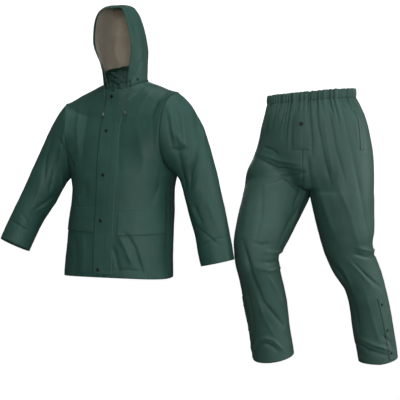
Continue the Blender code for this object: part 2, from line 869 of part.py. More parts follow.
def trouser_panels():
    """Four leg panels, gathered at the waist."""
    panels = []
    for side in (1, -1):
        word = "left" if side == 1 else "right"
        grid = gathered(leg_grid(side), side)
        front = [row[:HALF_WAIST + 1] for row in grid]
        back = [row[HALF_WAIST:] for row in grid]
        panels.append(Panel("trouser_front_" + word, front, flip=side == -1))
        panels.append(Panel("trouser_back_" + word, back, flip=side == -1))
    return panels


def band_panel(panels):
    """The waist casing above the trouser panels, as one gathered ring."""
    parts = {panel.name: panel for panel in panels}
    ring = list(parts["trouser_front_left"].grid[-1])
    ring += parts["trouser_back_left"].grid[-1][1:]
    ring += parts["trouser_back_right"].grid[-1][::-1][1:]
    ring += parts["trouser_front_right"].grid[-1][::-1][1:-1]
    middle = Vector((sum(p.x for p in ring) / len(ring), sum(p.y for p in ring) / len(ring), 0))
    grid = []
    for share in BAND_SHARES:
        swell = 1.0 + BAND_SWELL * (math.sin(math.pi * share) - share / 2)
        row = []
        for point in ring:
            flat = Vector((point.x, point.y, 0))
            place = middle + (flat - middle) * swell
            place.z = point.z + BAND_HEIGHT * share
            row.append(place)
        grid.append(row)
    return Panel("waist_casing", grid, wrap=True)


def nearest_pairs(skin, targets):
    """Rows of points and normals found nearest to some targets."""
    pairs = []
    for row in targets:
        line = []
        for target in row:
            place, _, number, _ = skin.tree.find_nearest(target)
            line.append((place, skin.normal_near(place, number)))
        pairs.append(line)
    return pairs


def storm_flap(skin, material):
    """The flap over the front opening."""
    pairs = []
    for k in range(FLAP_ROWS + 1):
        share = k / FLAP_ROWS
        z = smooth(STORM_FLAP, "z", share)
        left, right = smooth(STORM_FLAP, "left", share), smooth(STORM_FLAP, "right", share)
        pairs.append([skin.at(mix(left, right, c / FLAP_COLUMNS), z)
                      for c in range(FLAP_COLUMNS + 1)])
    return lay("storm_flap", pairs, material)


def pocket_flap(name, side, skin, material):
    """A pocket flap: its top edge sewn down, its lower edge standing off a little."""
    pocket = POCKETS[side]
    rows = []
    for k in range(POCKET_ROWS + 1):
        row = []
        for c in range(POCKET_COLUMNS + 1):
            turn = mix(POCKET_START, pocket.end, c / POCKET_COLUMNS)
            low = mix(pocket.low_inside, pocket.low_outside, turn)
            level = mix(low, mix(*POCKET_TOP, turn), k / POCKET_ROWS)
            row.append(body_point(turn, level, "front", side))
        rows.append(row)
    return lay(name, nearest_pairs(skin, rows), material, lift=POCKET_LIFT, flip=side == -1,
               flare=pocket.flare)


def ankle_strip(name, side, skin, material):
    """The strip along the ankle opening at a leg's outer side."""
    rows = [[ring_point(LEGS[side], mix(*ANKLE_LEVELS, k / ANKLE_ROWS), side, spin,
                        TROUSER_TURN) for spin in ANKLE_SPINS] for k in range(ANKLE_ROWS + 1)]
    return lay(name, nearest_pairs(skin, rows), material, lift=ANKLE_LIFT, flip=side == -1)


def fly_flap(skin, material):
    """The flap down the middle front of the trousers."""
    left, right, low, high = FLY
    pairs = [[skin.at(mix(left, right, c / FLY_COLUMNS), mix(low, high, k / FLY_ROWS))
              for c in range(FLY_COLUMNS + 1)] for k in range(FLY_ROWS + 1)]
    return lay("fly_flap", pairs, material, lift=FLY_LIFT)


def side_welt(skin, material):
    """The welt along the side opening."""
    columns = [mix(*WELT_TURNS, c / 2) * 2 * HALF_WAIST for c in range(3)]
    targets = [[hip_half(mix(*WELT_LEVELS, k / WELT_ROWS), j, HALF_WAIST, 1) for j in columns]
               for k in range(WELT_ROWS + 1)]
    return lay("side_welt", nearest_pairs(skin, targets), material, lift=WELT_LIFT)


def side_tack(skin, material):
    """The tack bar at the foot of the side opening."""
    pairs = [[skin.at(mix(*TACK_ENDS, c / 4), z) for c in range(5)] for z in TACK_EDGES]
    return lay("side_tack", pairs, material, lift=TACK_LIFT)


def snap_on(name, skin, x, z, material, radius=SNAP_RADIUS, stand=LIFT + WALL):
    """A snap on the flap that lies on a skin."""
    place, normal = skin.at(x, z)
    return snap(name, place + normal * stand, normal, material, radius)


def drawcord(word, skin, route, cord_slot, pale, metal):
    """One free end of the hood cord: eyelet, cord and the stopper that sits on it."""
    places = []
    for x, z, stand in route:
        point, normal = skin.at(x, z)
        places.append(point + normal * stand)
    eyelet, normal = skin.at(route[0][0], route[0][1])
    turned_solid("eyelet_" + word, eyelet + normal, normal, EYELET_PROFILE, 12, metal)
    path = []
    last = len(places) - 1
    for k in range(CORD_POINTS):
        at = k / (CORD_POINTS - 1) * last
        i = min(int(at), last - 1)
        before, after = places[max(i - 1, 0)], places[min(i + 2, last)]
        a, b, t = places[i], places[i + 1], at - i
        path.append(((a * 2) + (b - before) * t + (before * 2 - a * 5 + b * 4 - after) * t * t
                     + (a * 3 - before - b * 3 + after) * t ** 3) * 0.5)
    cord("drawcord_" + word, path, CORD_RADIUS, cord_slot)
    down = (path[-1] - path[-4]).normalized()
    turned_solid("stopper_" + word, path[-1] - down * STOPPER_GRIP, down, STOPPER_PROFILE, 12,
                 pale)


def main():
    """Build every piece."""
    clear_scene()
    shell = slot("rain_cloth", (0.020, 0.050, 0.042), 0.38)
    dark = slot("snap_metal", (0.03, 0.03, 0.032), 0.35, 0.8)
    pale = slot("stopper_plastic", (0.62, 0.60, 0.55), 0.35)
    cord_slot = slot("cord_fabric", (0.03, 0.06, 0.05), 0.8)

    jacket = jacket_panels()
    fold_cloth(jacket)
    for panel in jacket:
        seams = ("last", "left", "right")
        if panel.name.startswith("sleeve"):
            seams = ("first",)
        if panel.name.startswith("hood"):
            seams = ("left", "right", "last")
        cloth(panel, shell, seams=seams, half=SEAM_DRAW.get(panel.name.split("_")[0], 0.15))
    collar = collar_panel()
    weld_normals([collar])
    cloth(collar, shell, seams=())

    fronts = Skin([p for p in jacket if p.name.startswith("jacket_front")])
    storm_flap(fronts, shell)
    pocket_flap("pocket_flap_left", 1, fronts, shell)
    pocket_flap("pocket_flap_right", -1, fronts, shell)
    for k, (x, z) in enumerate(FLAP_SNAPS):
        snap_on(f"flap_snap_{k + 1}", fronts, x, z, dark)
    hood = Skin([p for p in jacket if p.name.startswith(("hood", "jacket_front"))])
    snap_on("hood_snap", hood, *HOOD_SNAP, dark, SMALL_SNAP_RADIUS, 1.0)
    snap_on("collar_snap", Skin([collar]), *COLLAR_SNAP, dark, SMALL_SNAP_RADIUS, 0.6)
    for word, route in CORD_ROUTES.items():
        drawcord(word, hood, route, cord_slot, pale, dark)

    trousers = trouser_panels()
    fold_cloth(trousers)
    band = band_panel(trousers)
    weld_normals(trousers + [band])
    for panel in trousers:
        cloth(panel, shell, seams=("last", "left", "right"), half=SEAM_DRAW["trouser"])
    cloth(band, shell, seams=("first",))
    seat = Skin(trousers + [band])
    fly_flap(seat, shell)
    snap_on("fly_button", seat, *FLY_BUTTON, dark, FLY_BUTTON_RADIUS, FLY_LIFT + WALL)
    side_welt(seat, shell)
    side_tack(seat, dark)
    for side, word in ((1, "left"), (-1, "right")):
        leg = Skin([p for p in trousers if p.name.endswith(word)])
        ankle_strip("ankle_strip_" + word, side, leg, shell)
        for k, level in enumerate(ANKLE_SNAPS):
            target = ring_point(LEGS[side], level, side, ANKLE_SNAP_SPIN, TROUSER_TURN)
            (place, normal), = nearest_pairs(leg, [[target]])[0]
            snap(f"ankle_snap_{word}_{k + 1}", place + normal * (ANKLE_LIFT + WALL), normal,
                 dark, SMALL_SNAP_RADIUS, lift=0.3)


if __name__ == "__main__":
    main()
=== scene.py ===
"""A hooded rain jacket and rain trousers, standing open as worn, dressed for their portrait.

Lengths in the tables are millimetres and finished meshes are metres, in the frame's own axes:
+Z is up and -Y is the side that shows. Folds are placed in sight steps of 3.75 mm, counted
from the left and from the top of what the camera takes in.
"""
from __future__ import annotations

import logging
import math
from dataclasses import dataclass, field
from enum import Enum
from typing import NamedTuple, Sequence

import bmesh
import bpy
import numpy as np
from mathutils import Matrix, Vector, noise
from mathutils.bvhtree import BVHTree

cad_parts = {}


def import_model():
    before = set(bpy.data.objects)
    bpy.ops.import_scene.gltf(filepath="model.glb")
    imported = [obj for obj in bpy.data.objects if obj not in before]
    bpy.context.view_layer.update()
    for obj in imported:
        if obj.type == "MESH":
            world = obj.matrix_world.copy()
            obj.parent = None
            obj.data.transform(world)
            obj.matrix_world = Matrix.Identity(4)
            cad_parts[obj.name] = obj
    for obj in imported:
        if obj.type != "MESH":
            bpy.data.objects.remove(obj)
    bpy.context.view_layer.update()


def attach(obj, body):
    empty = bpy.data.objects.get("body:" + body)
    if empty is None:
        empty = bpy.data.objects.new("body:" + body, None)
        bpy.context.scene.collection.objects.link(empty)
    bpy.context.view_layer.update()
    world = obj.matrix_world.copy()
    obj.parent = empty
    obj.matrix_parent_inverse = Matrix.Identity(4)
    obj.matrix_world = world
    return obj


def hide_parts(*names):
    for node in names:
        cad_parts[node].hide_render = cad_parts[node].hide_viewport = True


LOG = logging.getLogger("rain_suit")
MM = 0.001
WALL = 1.5
TRIM_WALL = 1.2
HEM = 20.0
EDGES = ("first", "last", "left", "right")
WHITE = (1.0, 1.0, 1.0, 1.0)


class Garment(Enum):
    """The two garments of the set."""

    JACKET = "jacket"
    TROUSERS = "trousers"


class Side(Enum):
    """The wearer's sides, with the sign that each has across the garment."""

    LEFT = 1
    RIGHT = -1

    @property
    def word(self) -> str:
        """The side's name as pieces use it."""
        return self.name.lower()


# Camera


@dataclass(frozen=True)
class Sight:
    """Where the set is looked at from."""

    aim: tuple[float, float, float] = (277.5, 0.0, -435.0)
    distance: float = 4300.0
    rise: float = math.radians(3.5)
    lens: float = 103.2
    sensor: float = 36.0
    steps: float = 400.0

    def backward(self) -> np.ndarray:
        """The direction from the aim to the camera."""
        return np.array([0.0, -math.cos(self.rise), math.sin(self.rise)])

    def places(self, points: np.ndarray) -> np.ndarray:
        """Where points are seen, in sight steps.

        Args:
            points: Places in millimetres, one a row.

        Returns:
            Steps from the left and from the top, one pair a row.
        """
        back = self.backward()
        up = np.array([0.0, math.sin(self.rise), math.cos(self.rise)])
        away = points - (np.array(self.aim) + back * self.distance)
        depth = -(away @ back)
        focal = self.lens / self.sensor * self.steps
        half = self.steps / 2
        return np.stack([half + focal * away[:, 0] / depth, half - focal * (away @ up) / depth], 1)

    def camera(self) -> None:
        """Make the camera that looks along this sight."""
        data = bpy.data.cameras.new("portrait_camera")
        data.lens = self.lens
        data.sensor_width = self.sensor
        data.clip_end = 60.0
        camera = bpy.data.objects.new("portrait_camera", data)
        back = Vector(self.backward())
        camera.location = Vector(self.aim) * MM + back * (self.distance * MM)
        camera.rotation_euler = (-back).to_track_quat("-Z", "Y").to_euler()
        bpy.context.scene.collection.objects.link(camera)
        bpy.context.scene.camera = camera


SIGHT = Sight()


# Finishes


class Nodes:
    """A short hand for one node tree, a material's or the world's."""

    def __init__(self, owner: bpy.types.Material | bpy.types.World, ground: str) -> None:
        """Start from the node that the owner's new tree comes with.

        Args:
            owner: The material or the world.
            ground: That node's name.
        """
        owner.use_nodes = True
        self.owner = owner
        self.tree = owner.node_tree
        self.ground = self.tree.nodes[ground]

    @classmethod
    def material(cls, name: str) -> "Nodes":
        """Start a material with a Principled shader."""
        return cls(bpy.data.materials.new(name), "Principled BSDF")

    def add(self, kind: str, **values: object) -> bpy.types.Node:
        """Add a node and set its properties and sockets by name.

        Args:
            kind: The node's class.
            **values: Property names, or socket names with spaces as underscores.

        Returns:
            The node.
        """
        node = self.tree.nodes.new(kind)
        for key, value in values.items():
            if hasattr(node, key):
                setattr(node, key, value)
            else:
                node.inputs[key.replace("_", " ")].default_value = value
        return node

    def link(self, source: bpy.types.NodeSocket, target: bpy.types.NodeSocket) -> None:
        """Join an output to an input."""
        self.tree.links.new(source, target)

    def place(self) -> bpy.types.NodeSocket:
        """Where a point lies on its piece."""
        return self.add("ShaderNodeTexCoord").outputs["Object"]

    def cut(self) -> bpy.types.NodeSocket:
        """Where a point lies on its cut cloth."""
        return self.add("ShaderNodeUVMap", uv_map="cut").outputs["UV"]

    def texture(self, kind: str, where: bpy.types.NodeSocket, **values: object
                ) -> bpy.types.NodeSocket:
        """Add a procedural texture read at some places; see add for the values.

        Args:
            kind: The texture.
            where: The places it is read at.
            **values: Its properties and sockets; see add.

        Returns:
            Its grey value.
        """
        node = self.add("ShaderNodeTex" + kind, **values)
        self.link(where, node.inputs["Vector"])
        return node.outputs["Distance" if kind == "Voronoi" else "Fac"]

    def math(self, operation: str, *terms: bpy.types.NodeSocket | float) -> bpy.types.NodeSocket:
        """Work out one sum of sockets and numbers.

        Args:
            operation: The operation.
            *terms: Its sockets or numbers, in order.

        Returns:
            The result.
        """
        node = self.add("ShaderNodeMath", operation=operation)
        for number, term in enumerate(terms):
            if isinstance(term, float):
                node.inputs[number].default_value = term
            else:
                self.link(term, node.inputs[number])
        return node.outputs["Value"]

    def bump(self, height: bpy.types.NodeSocket, strength: float, distance: float) -> None:
        """Let a height turn the shader's normal.

        Args:
            height: The height.
            strength: How strongly it shows.
            distance: What a height of one comes to, in metres.
        """
        node = self.add("ShaderNodeBump", Strength=strength, Distance=distance)
        self.link(height, node.inputs["Height"])
        self.link(node.outputs["Normal"], self.ground.inputs["Normal"])

    def finish(self, colour: bpy.types.NodeSocket, roughness: bpy.types.NodeSocket,
               **values: float) -> bpy.types.Material:
        """Give the shader its colour, roughness and plain values, and hand the material over.

        Args:
            colour: The base colour.
            roughness: The roughness.
            **values: Plain values, socket names with spaces as underscores.

        Returns:
            The material.
        """
        self.link(colour, self.ground.inputs["Base Color"])
        self.link(roughness, self.ground.inputs["Roughness"])
        for key, value in values.items():
            self.ground.inputs[key.replace("_", " ")].default_value = value
        return self.owner

    def ramp(self, value: bpy.types.NodeSocket, low: tuple, high: tuple,
             start: float = 0.0, stop: float = 1.0) -> bpy.types.NodeSocket:
        """Map a value to a colour between two colours.

        Args:
            value: The value.
            low: The colour up to start.
            high: The colour from stop on.
            start: Where the change begins.
            stop: Where it ends.

        Returns:
            The colour.
        """
        node = self.add("ShaderNodeValToRGB")
        node.color_ramp.elements[0].position = start
        node.color_ramp.elements[0].color = (*low, 1.0)
        node.color_ramp.elements[1].position = stop
        node.color_ramp.elements[1].color = (*high, 1.0)
        self.link(value, node.inputs["Fac"])
        return node.outputs["Color"]

    def spread(self, value: bpy.types.NodeSocket, low: float, high: float,
               start: float = 0.0, stop: float = 1.0) -> bpy.types.NodeSocket:
        """Map a value from one range to another.

        Args:
            value: The value.
            low: What start becomes.
            high: What stop becomes.
            start: The range's start.
            stop: The range's end.

        Returns:
            The value in its new range.
        """
        node = self.add("ShaderNodeMapRange")
        for key, number in (("From Min", start), ("From Max", stop), ("To Min", low),
                            ("To Max", high)):
            node.inputs[key].default_value = number
        self.link(value, node.inputs["Value"])
        return node.outputs["Result"]


@dataclass(frozen=True)
class CoatedCloth:
    """The outer face: a coated knit, semi-matt, with a fine grain and soft cloudy shade."""

    name: str = "coated_cloth"
    colour: tuple[float, float, float] = (0.020, 0.068, 0.053)
    light: tuple[float, float, float] = (0.028, 0.086, 0.069)
    rubbed: tuple[float, float, float] = (0.040, 0.100, 0.080)
    roughness: tuple[float, float] = (0.52, 0.64)
    grain: float = 0.0011

    def make(self) -> bpy.types.Material:
        """Build the material.

        Returns:
            The material.
        """
        n = Nodes.material(self.name)
        clouds = n.texture("Noise", n.place(), Scale=9.0, Detail=4.0, Roughness=0.6)
        fine = n.texture("Noise", n.place(), Scale=1.0 / self.grain, Detail=3.0, Roughness=0.65)
        tone = n.math("MULTIPLY_ADD", fine, 0.3, clouds)
        rub = n.add("ShaderNodeAttribute", attribute_name="rub")
        worn = n.add("ShaderNodeMix", data_type="RGBA")
        n.link(n.spread(rub.outputs["Fac"], 0.0, 0.35), worn.inputs[0])
        n.link(n.ramp(tone, self.colour, self.light, 0.4, 0.9), worn.inputs[6])
        worn.inputs[7].default_value = (*self.rubbed, 1.0)
        knit = n.texture("Voronoi", n.cut(), Scale=650.0)
        n.bump(n.math("MULTIPLY_ADD", knit, 0.35, fine), 0.22, 0.0003)
        return n.finish(worn.outputs[2], n.spread(clouds, *self.roughness, 0.3, 0.7),
                        Specular_IOR_Level=0.30)


@dataclass(frozen=True)
class BackingCloth:
    """The inner face: the undyed knit backing, matt and slightly furry."""

    name: str = "backing_cloth"
    colour: tuple[float, float, float] = (0.300, 0.262, 0.195)
    light: tuple[float, float, float] = (0.420, 0.375, 0.290)

    def make(self) -> bpy.types.Material:
        """Build the material.

        Returns:
            The material.
        """
        n = Nodes.material(self.name)
        clouds = n.texture("Noise", n.place(), Scale=22.0, Detail=5.0, Roughness=0.7)
        courses = n.texture("Wave", n.cut(), Scale=180.0, Distortion=1.2, bands_direction="Y")
        wales = n.texture("Wave", n.cut(), Scale=220.0, Distortion=0.8, bands_direction="X")
        loops = n.math("MULTIPLY", courses, wales)
        tone = n.math("MULTIPLY_ADD", loops, 0.22, clouds)
        n.bump(loops, 0.35, 0.0004)
        return n.finish(n.ramp(tone, self.colour, self.light, 0.35, 0.85),
                        n.spread(loops, 0.78, 0.92), Sheen_Weight=0.25, Specular_IOR_Level=0.2)


@dataclass(frozen=True)
class HardFinish:
    """A small hard part: its colours, gloss and how fine its marks are."""

    name: str
    colour: tuple[float, float, float]
    light: tuple[float, float, float]
    roughness: tuple[float, float]
    metallic: float = 0.0
    marks: float = 400.0
    coat: float = 0.0

    def make(self) -> bpy.types.Material:
        """Build the material.

        Returns:
            The material.
        """
        n = Nodes.material(self.name)
        marks = n.texture("Noise", n.place(), Scale=self.marks, Detail=4.0, Roughness=0.6)
        n.bump(marks, 0.08, 0.0002)
        return n.finish(n.ramp(marks, self.colour, self.light, 0.35, 0.75),
                        n.spread(marks, *self.roughness, 0.3, 0.7), Metallic=self.metallic,
                        Coat_Weight=self.coat)


@dataclass(frozen=True)
class BraidedCord:
    """A round braid: two sets of strands crossing on a slant."""

    name: str = "cord_braid"
    colour: tuple[float, float, float] = (0.016, 0.034, 0.029)
    light: tuple[float, float, float] = (0.026, 0.052, 0.044)

    def make(self) -> bpy.types.Material:
        """Build the material.

        Returns:
            The material.
        """
        n = Nodes.material(self.name)
        strands = []
        for slant in (1.0, -1.0):
            turn = n.add("ShaderNodeMapping")
            turn.inputs["Rotation"].default_value = (0.0, 0.0, slant * math.radians(35.0))
            n.link(n.cut(), turn.inputs["Vector"])
            strands.append(n.texture("Wave", turn.outputs["Vector"], Scale=260.0,
                                     Distortion=0.3))
        both = n.math("MAXIMUM", *strands)
        n.bump(both, 0.6, 0.0003)
        return n.finish(n.ramp(both, self.colour, self.light), n.spread(both, 0.9, 0.7),
                        Sheen_Weight=0.2)


@dataclass(frozen=True)
class Palette:
    """Every material of the set, made once."""

    coated: bpy.types.Material
    legs: bpy.types.Material
    # collar: the coated cloth made darker, painted shade for the collar in the hood's shadow
    collar: bpy.types.Material
    backing: bpy.types.Material
    metal: bpy.types.Material
    plastic: bpy.types.Material
    braid: bpy.types.Material
    thread: bpy.types.Material

    @classmethod
    def mixed(cls) -> "Palette":
        """Make the materials.

        Returns:
            The palette.
        """
        return cls(
            coated=CoatedCloth().make(),
            # The collar's cloth is the coated cloth darkened: painted shade for the shadow inside
            # the hood.
            collar=CoatedCloth("coated_collar_cloth", (0.010, 0.037, 0.028),
                               (0.016, 0.051, 0.040)).make(),
            legs=CoatedCloth("coated_leg_cloth", (0.031, 0.080, 0.064),
                             (0.043, 0.101, 0.082)).make(),
            backing=BackingCloth().make(),
            metal=HardFinish("snap_paint", (0.004, 0.005, 0.005), (0.020, 0.022, 0.022),
                             (0.28, 0.42), 0.55, 900.0).make(),
            plastic=HardFinish("stopper_plastic", (0.030, 0.060, 0.052), (0.085, 0.120, 0.108),
                               (0.30, 0.42), 0.0, 300.0, 0.15).make(),
            braid=BraidedCord().make(),
            thread=HardFinish("seam_thread", (0.020, 0.058, 0.046), (0.034, 0.088, 0.071),
                              (0.55, 0.75), 0.0, 1500.0).make(),
        )


# Reading tables


def read_curve(knots: np.ndarray, values: np.ndarray, at: np.ndarray,
               side: str = "left") -> np.ndarray:
    """Read a smooth curve that passes through some values.

    Args:
        knots: Where each value stands, rising.
        values: A number or an array for each knot.
        at: Where to read.
        side: Which neighbour a place right on a knot belongs to.

    Returns:
        The values read, shaped as at and then as one value.
    """
    last = len(knots) - 1
    low = np.maximum(np.arange(last + 1) - 1, 0)
    high = np.minimum(np.arange(last + 1) + 1, last)
    wide = (...,) + (None,) * (values.ndim - 1)
    slopes = (values[high] - values[low]) / (knots[high] - knots[low])[wide]
    k = np.clip(np.searchsorted(knots, at, side=side) - 1, 0, last - 1)
    span = np.asarray(knots[k + 1] - knots[k])[wide]
    t = np.asarray(at - knots[k])[wide] / span
    return ((2 * t ** 3 - 3 * t * t + 1) * values[k]
            + (t ** 3 - 2 * t * t + t) * (slopes[k] * span)
            + (3 * t * t - 2 * t ** 3) * values[k + 1]
            + (t ** 3 - t * t) * (slopes[k + 1] * span))


def smooth(rows: Sequence[NamedTuple], column: str, at: np.ndarray) -> np.ndarray:
    """Read a table's column between its rows on a smooth curve.

    Args:
        rows: Table rows with a field named at.
        column: The field to read.
        at: Where to read.

    Returns:
        The values, shaped as at.
    """
    knots = np.array([row.at for row in rows], float)
    values = np.array([getattr(row, column) for row in rows], float)
    return read_curve(knots, values, np.asarray(at, float))


def mix(a: np.ndarray | float, b: np.ndarray | float, t: np.ndarray | float) -> np.ndarray:
    """A value t of the way from a to b."""
    return a + (b - a) * t


def ease(t: np.ndarray | float) -> np.ndarray:
    """0 to 1 with soft ends."""
    t = np.clip(t, 0.0, 1.0)
    return t * t * (3 - 2 * t)


def unit(vectors: np.ndarray) -> np.ndarray:
    """Vectors along the last axis at length one."""
    return vectors / np.maximum(np.linalg.norm(vectors, axis=-1, keepdims=True), 1e-9)


def turned(x: np.ndarray, y: np.ndarray, z: np.ndarray, angle: float,
           shift: float = 0.0) -> np.ndarray:
    """Turn a garment's own places about Z into the shared axes.

    Args:
        x: Places to the wearer's left.
        y: Places towards the back.
        z: Heights.
        angle: The turn, in radians.
        shift: How far the garment stands along +X.

    Returns:
        An array whose last axis is x, y, z.
    """
    x, y, z = np.broadcast_arrays(x, y, z)
    c, s = math.cos(angle), math.sin(angle)
    return np.stack([x * c - y * s + shift, x * s + y * c, z], -1)


def through(rows: np.ndarray, spacing: float) -> np.ndarray:
    """Run smooth columns through some rows of places.

    Args:
        rows: Rows by columns by x, y, z.
        spacing: The wanted distance between the finer rows.

    Returns:
        The finer rows, which pass through all of the given ones.
    """
    gaps = np.linalg.norm(np.diff(rows, axis=0), axis=-1).mean(1)
    knots = np.concatenate([[0.0], np.cumsum(gaps)])
    runs = [np.linspace(a, b, max(2, round((b - a) / spacing)), endpoint=False)
            for a, b in zip(knots[:-1], knots[1:])]
    return read_curve(knots, rows, np.concatenate(runs + [knots[-1:]]), "right")


class Ring(NamedTuple):
    """One ring of a sleeve or a leg: centre in the shared axes, width across, depth."""

    at: float
    x: float
    y: float
    z: float
    wide: float
    deep: float


@dataclass(frozen=True)
class Tube:
    """A sleeve or a leg: rings square to a centre line."""

    rings: tuple[Ring, ...]
    side: int
    angle: float

    def centre(self, at: np.ndarray) -> np.ndarray:
        """The centre line's places."""
        return np.stack([smooth(self.rings, c, at) for c in ("x", "y", "z")], -1)

    def point(self, at: np.ndarray, spin: np.ndarray) -> np.ndarray:
        """Places on the tube: spin 0 inside, a quarter at the front, a half outside.

        Args:
            at: How far along, 0 at the first ring.
            spin: How far round, in turns.

        Returns:
            The places.
        """
        at, spin = np.broadcast_arrays(np.asarray(at, float), np.asarray(spin, float))
        ahead = unit(self.centre(at + 0.01) - self.centre(at - 0.01))
        out = turned(float(self.side), 0.0, 0.0, self.angle)
        out = unit(out - ahead * (ahead @ out)[..., None])
        front = turned(0.0, -1.0, 0.0, self.angle)
        front = front - ahead * (ahead @ front)[..., None]
        front = unit(front - out * np.sum(front * out, -1, keepdims=True))
        a = spin * 2 * math.pi
        wide = smooth(self.rings, "wide", at) / 2 * np.cos(a)
        deep = smooth(self.rings, "deep", at) / 2 * np.sin(a)
        return self.centre(at) - out * wide[..., None] + front * deep[..., None]


# Folds


class Fold(NamedTuple):
    """A soft ridge (deep above 0) or trough along a short line of sight steps."""

    path: tuple[tuple[float, float], ...]
    width: float
    deep: float
    lean: float = 0.0


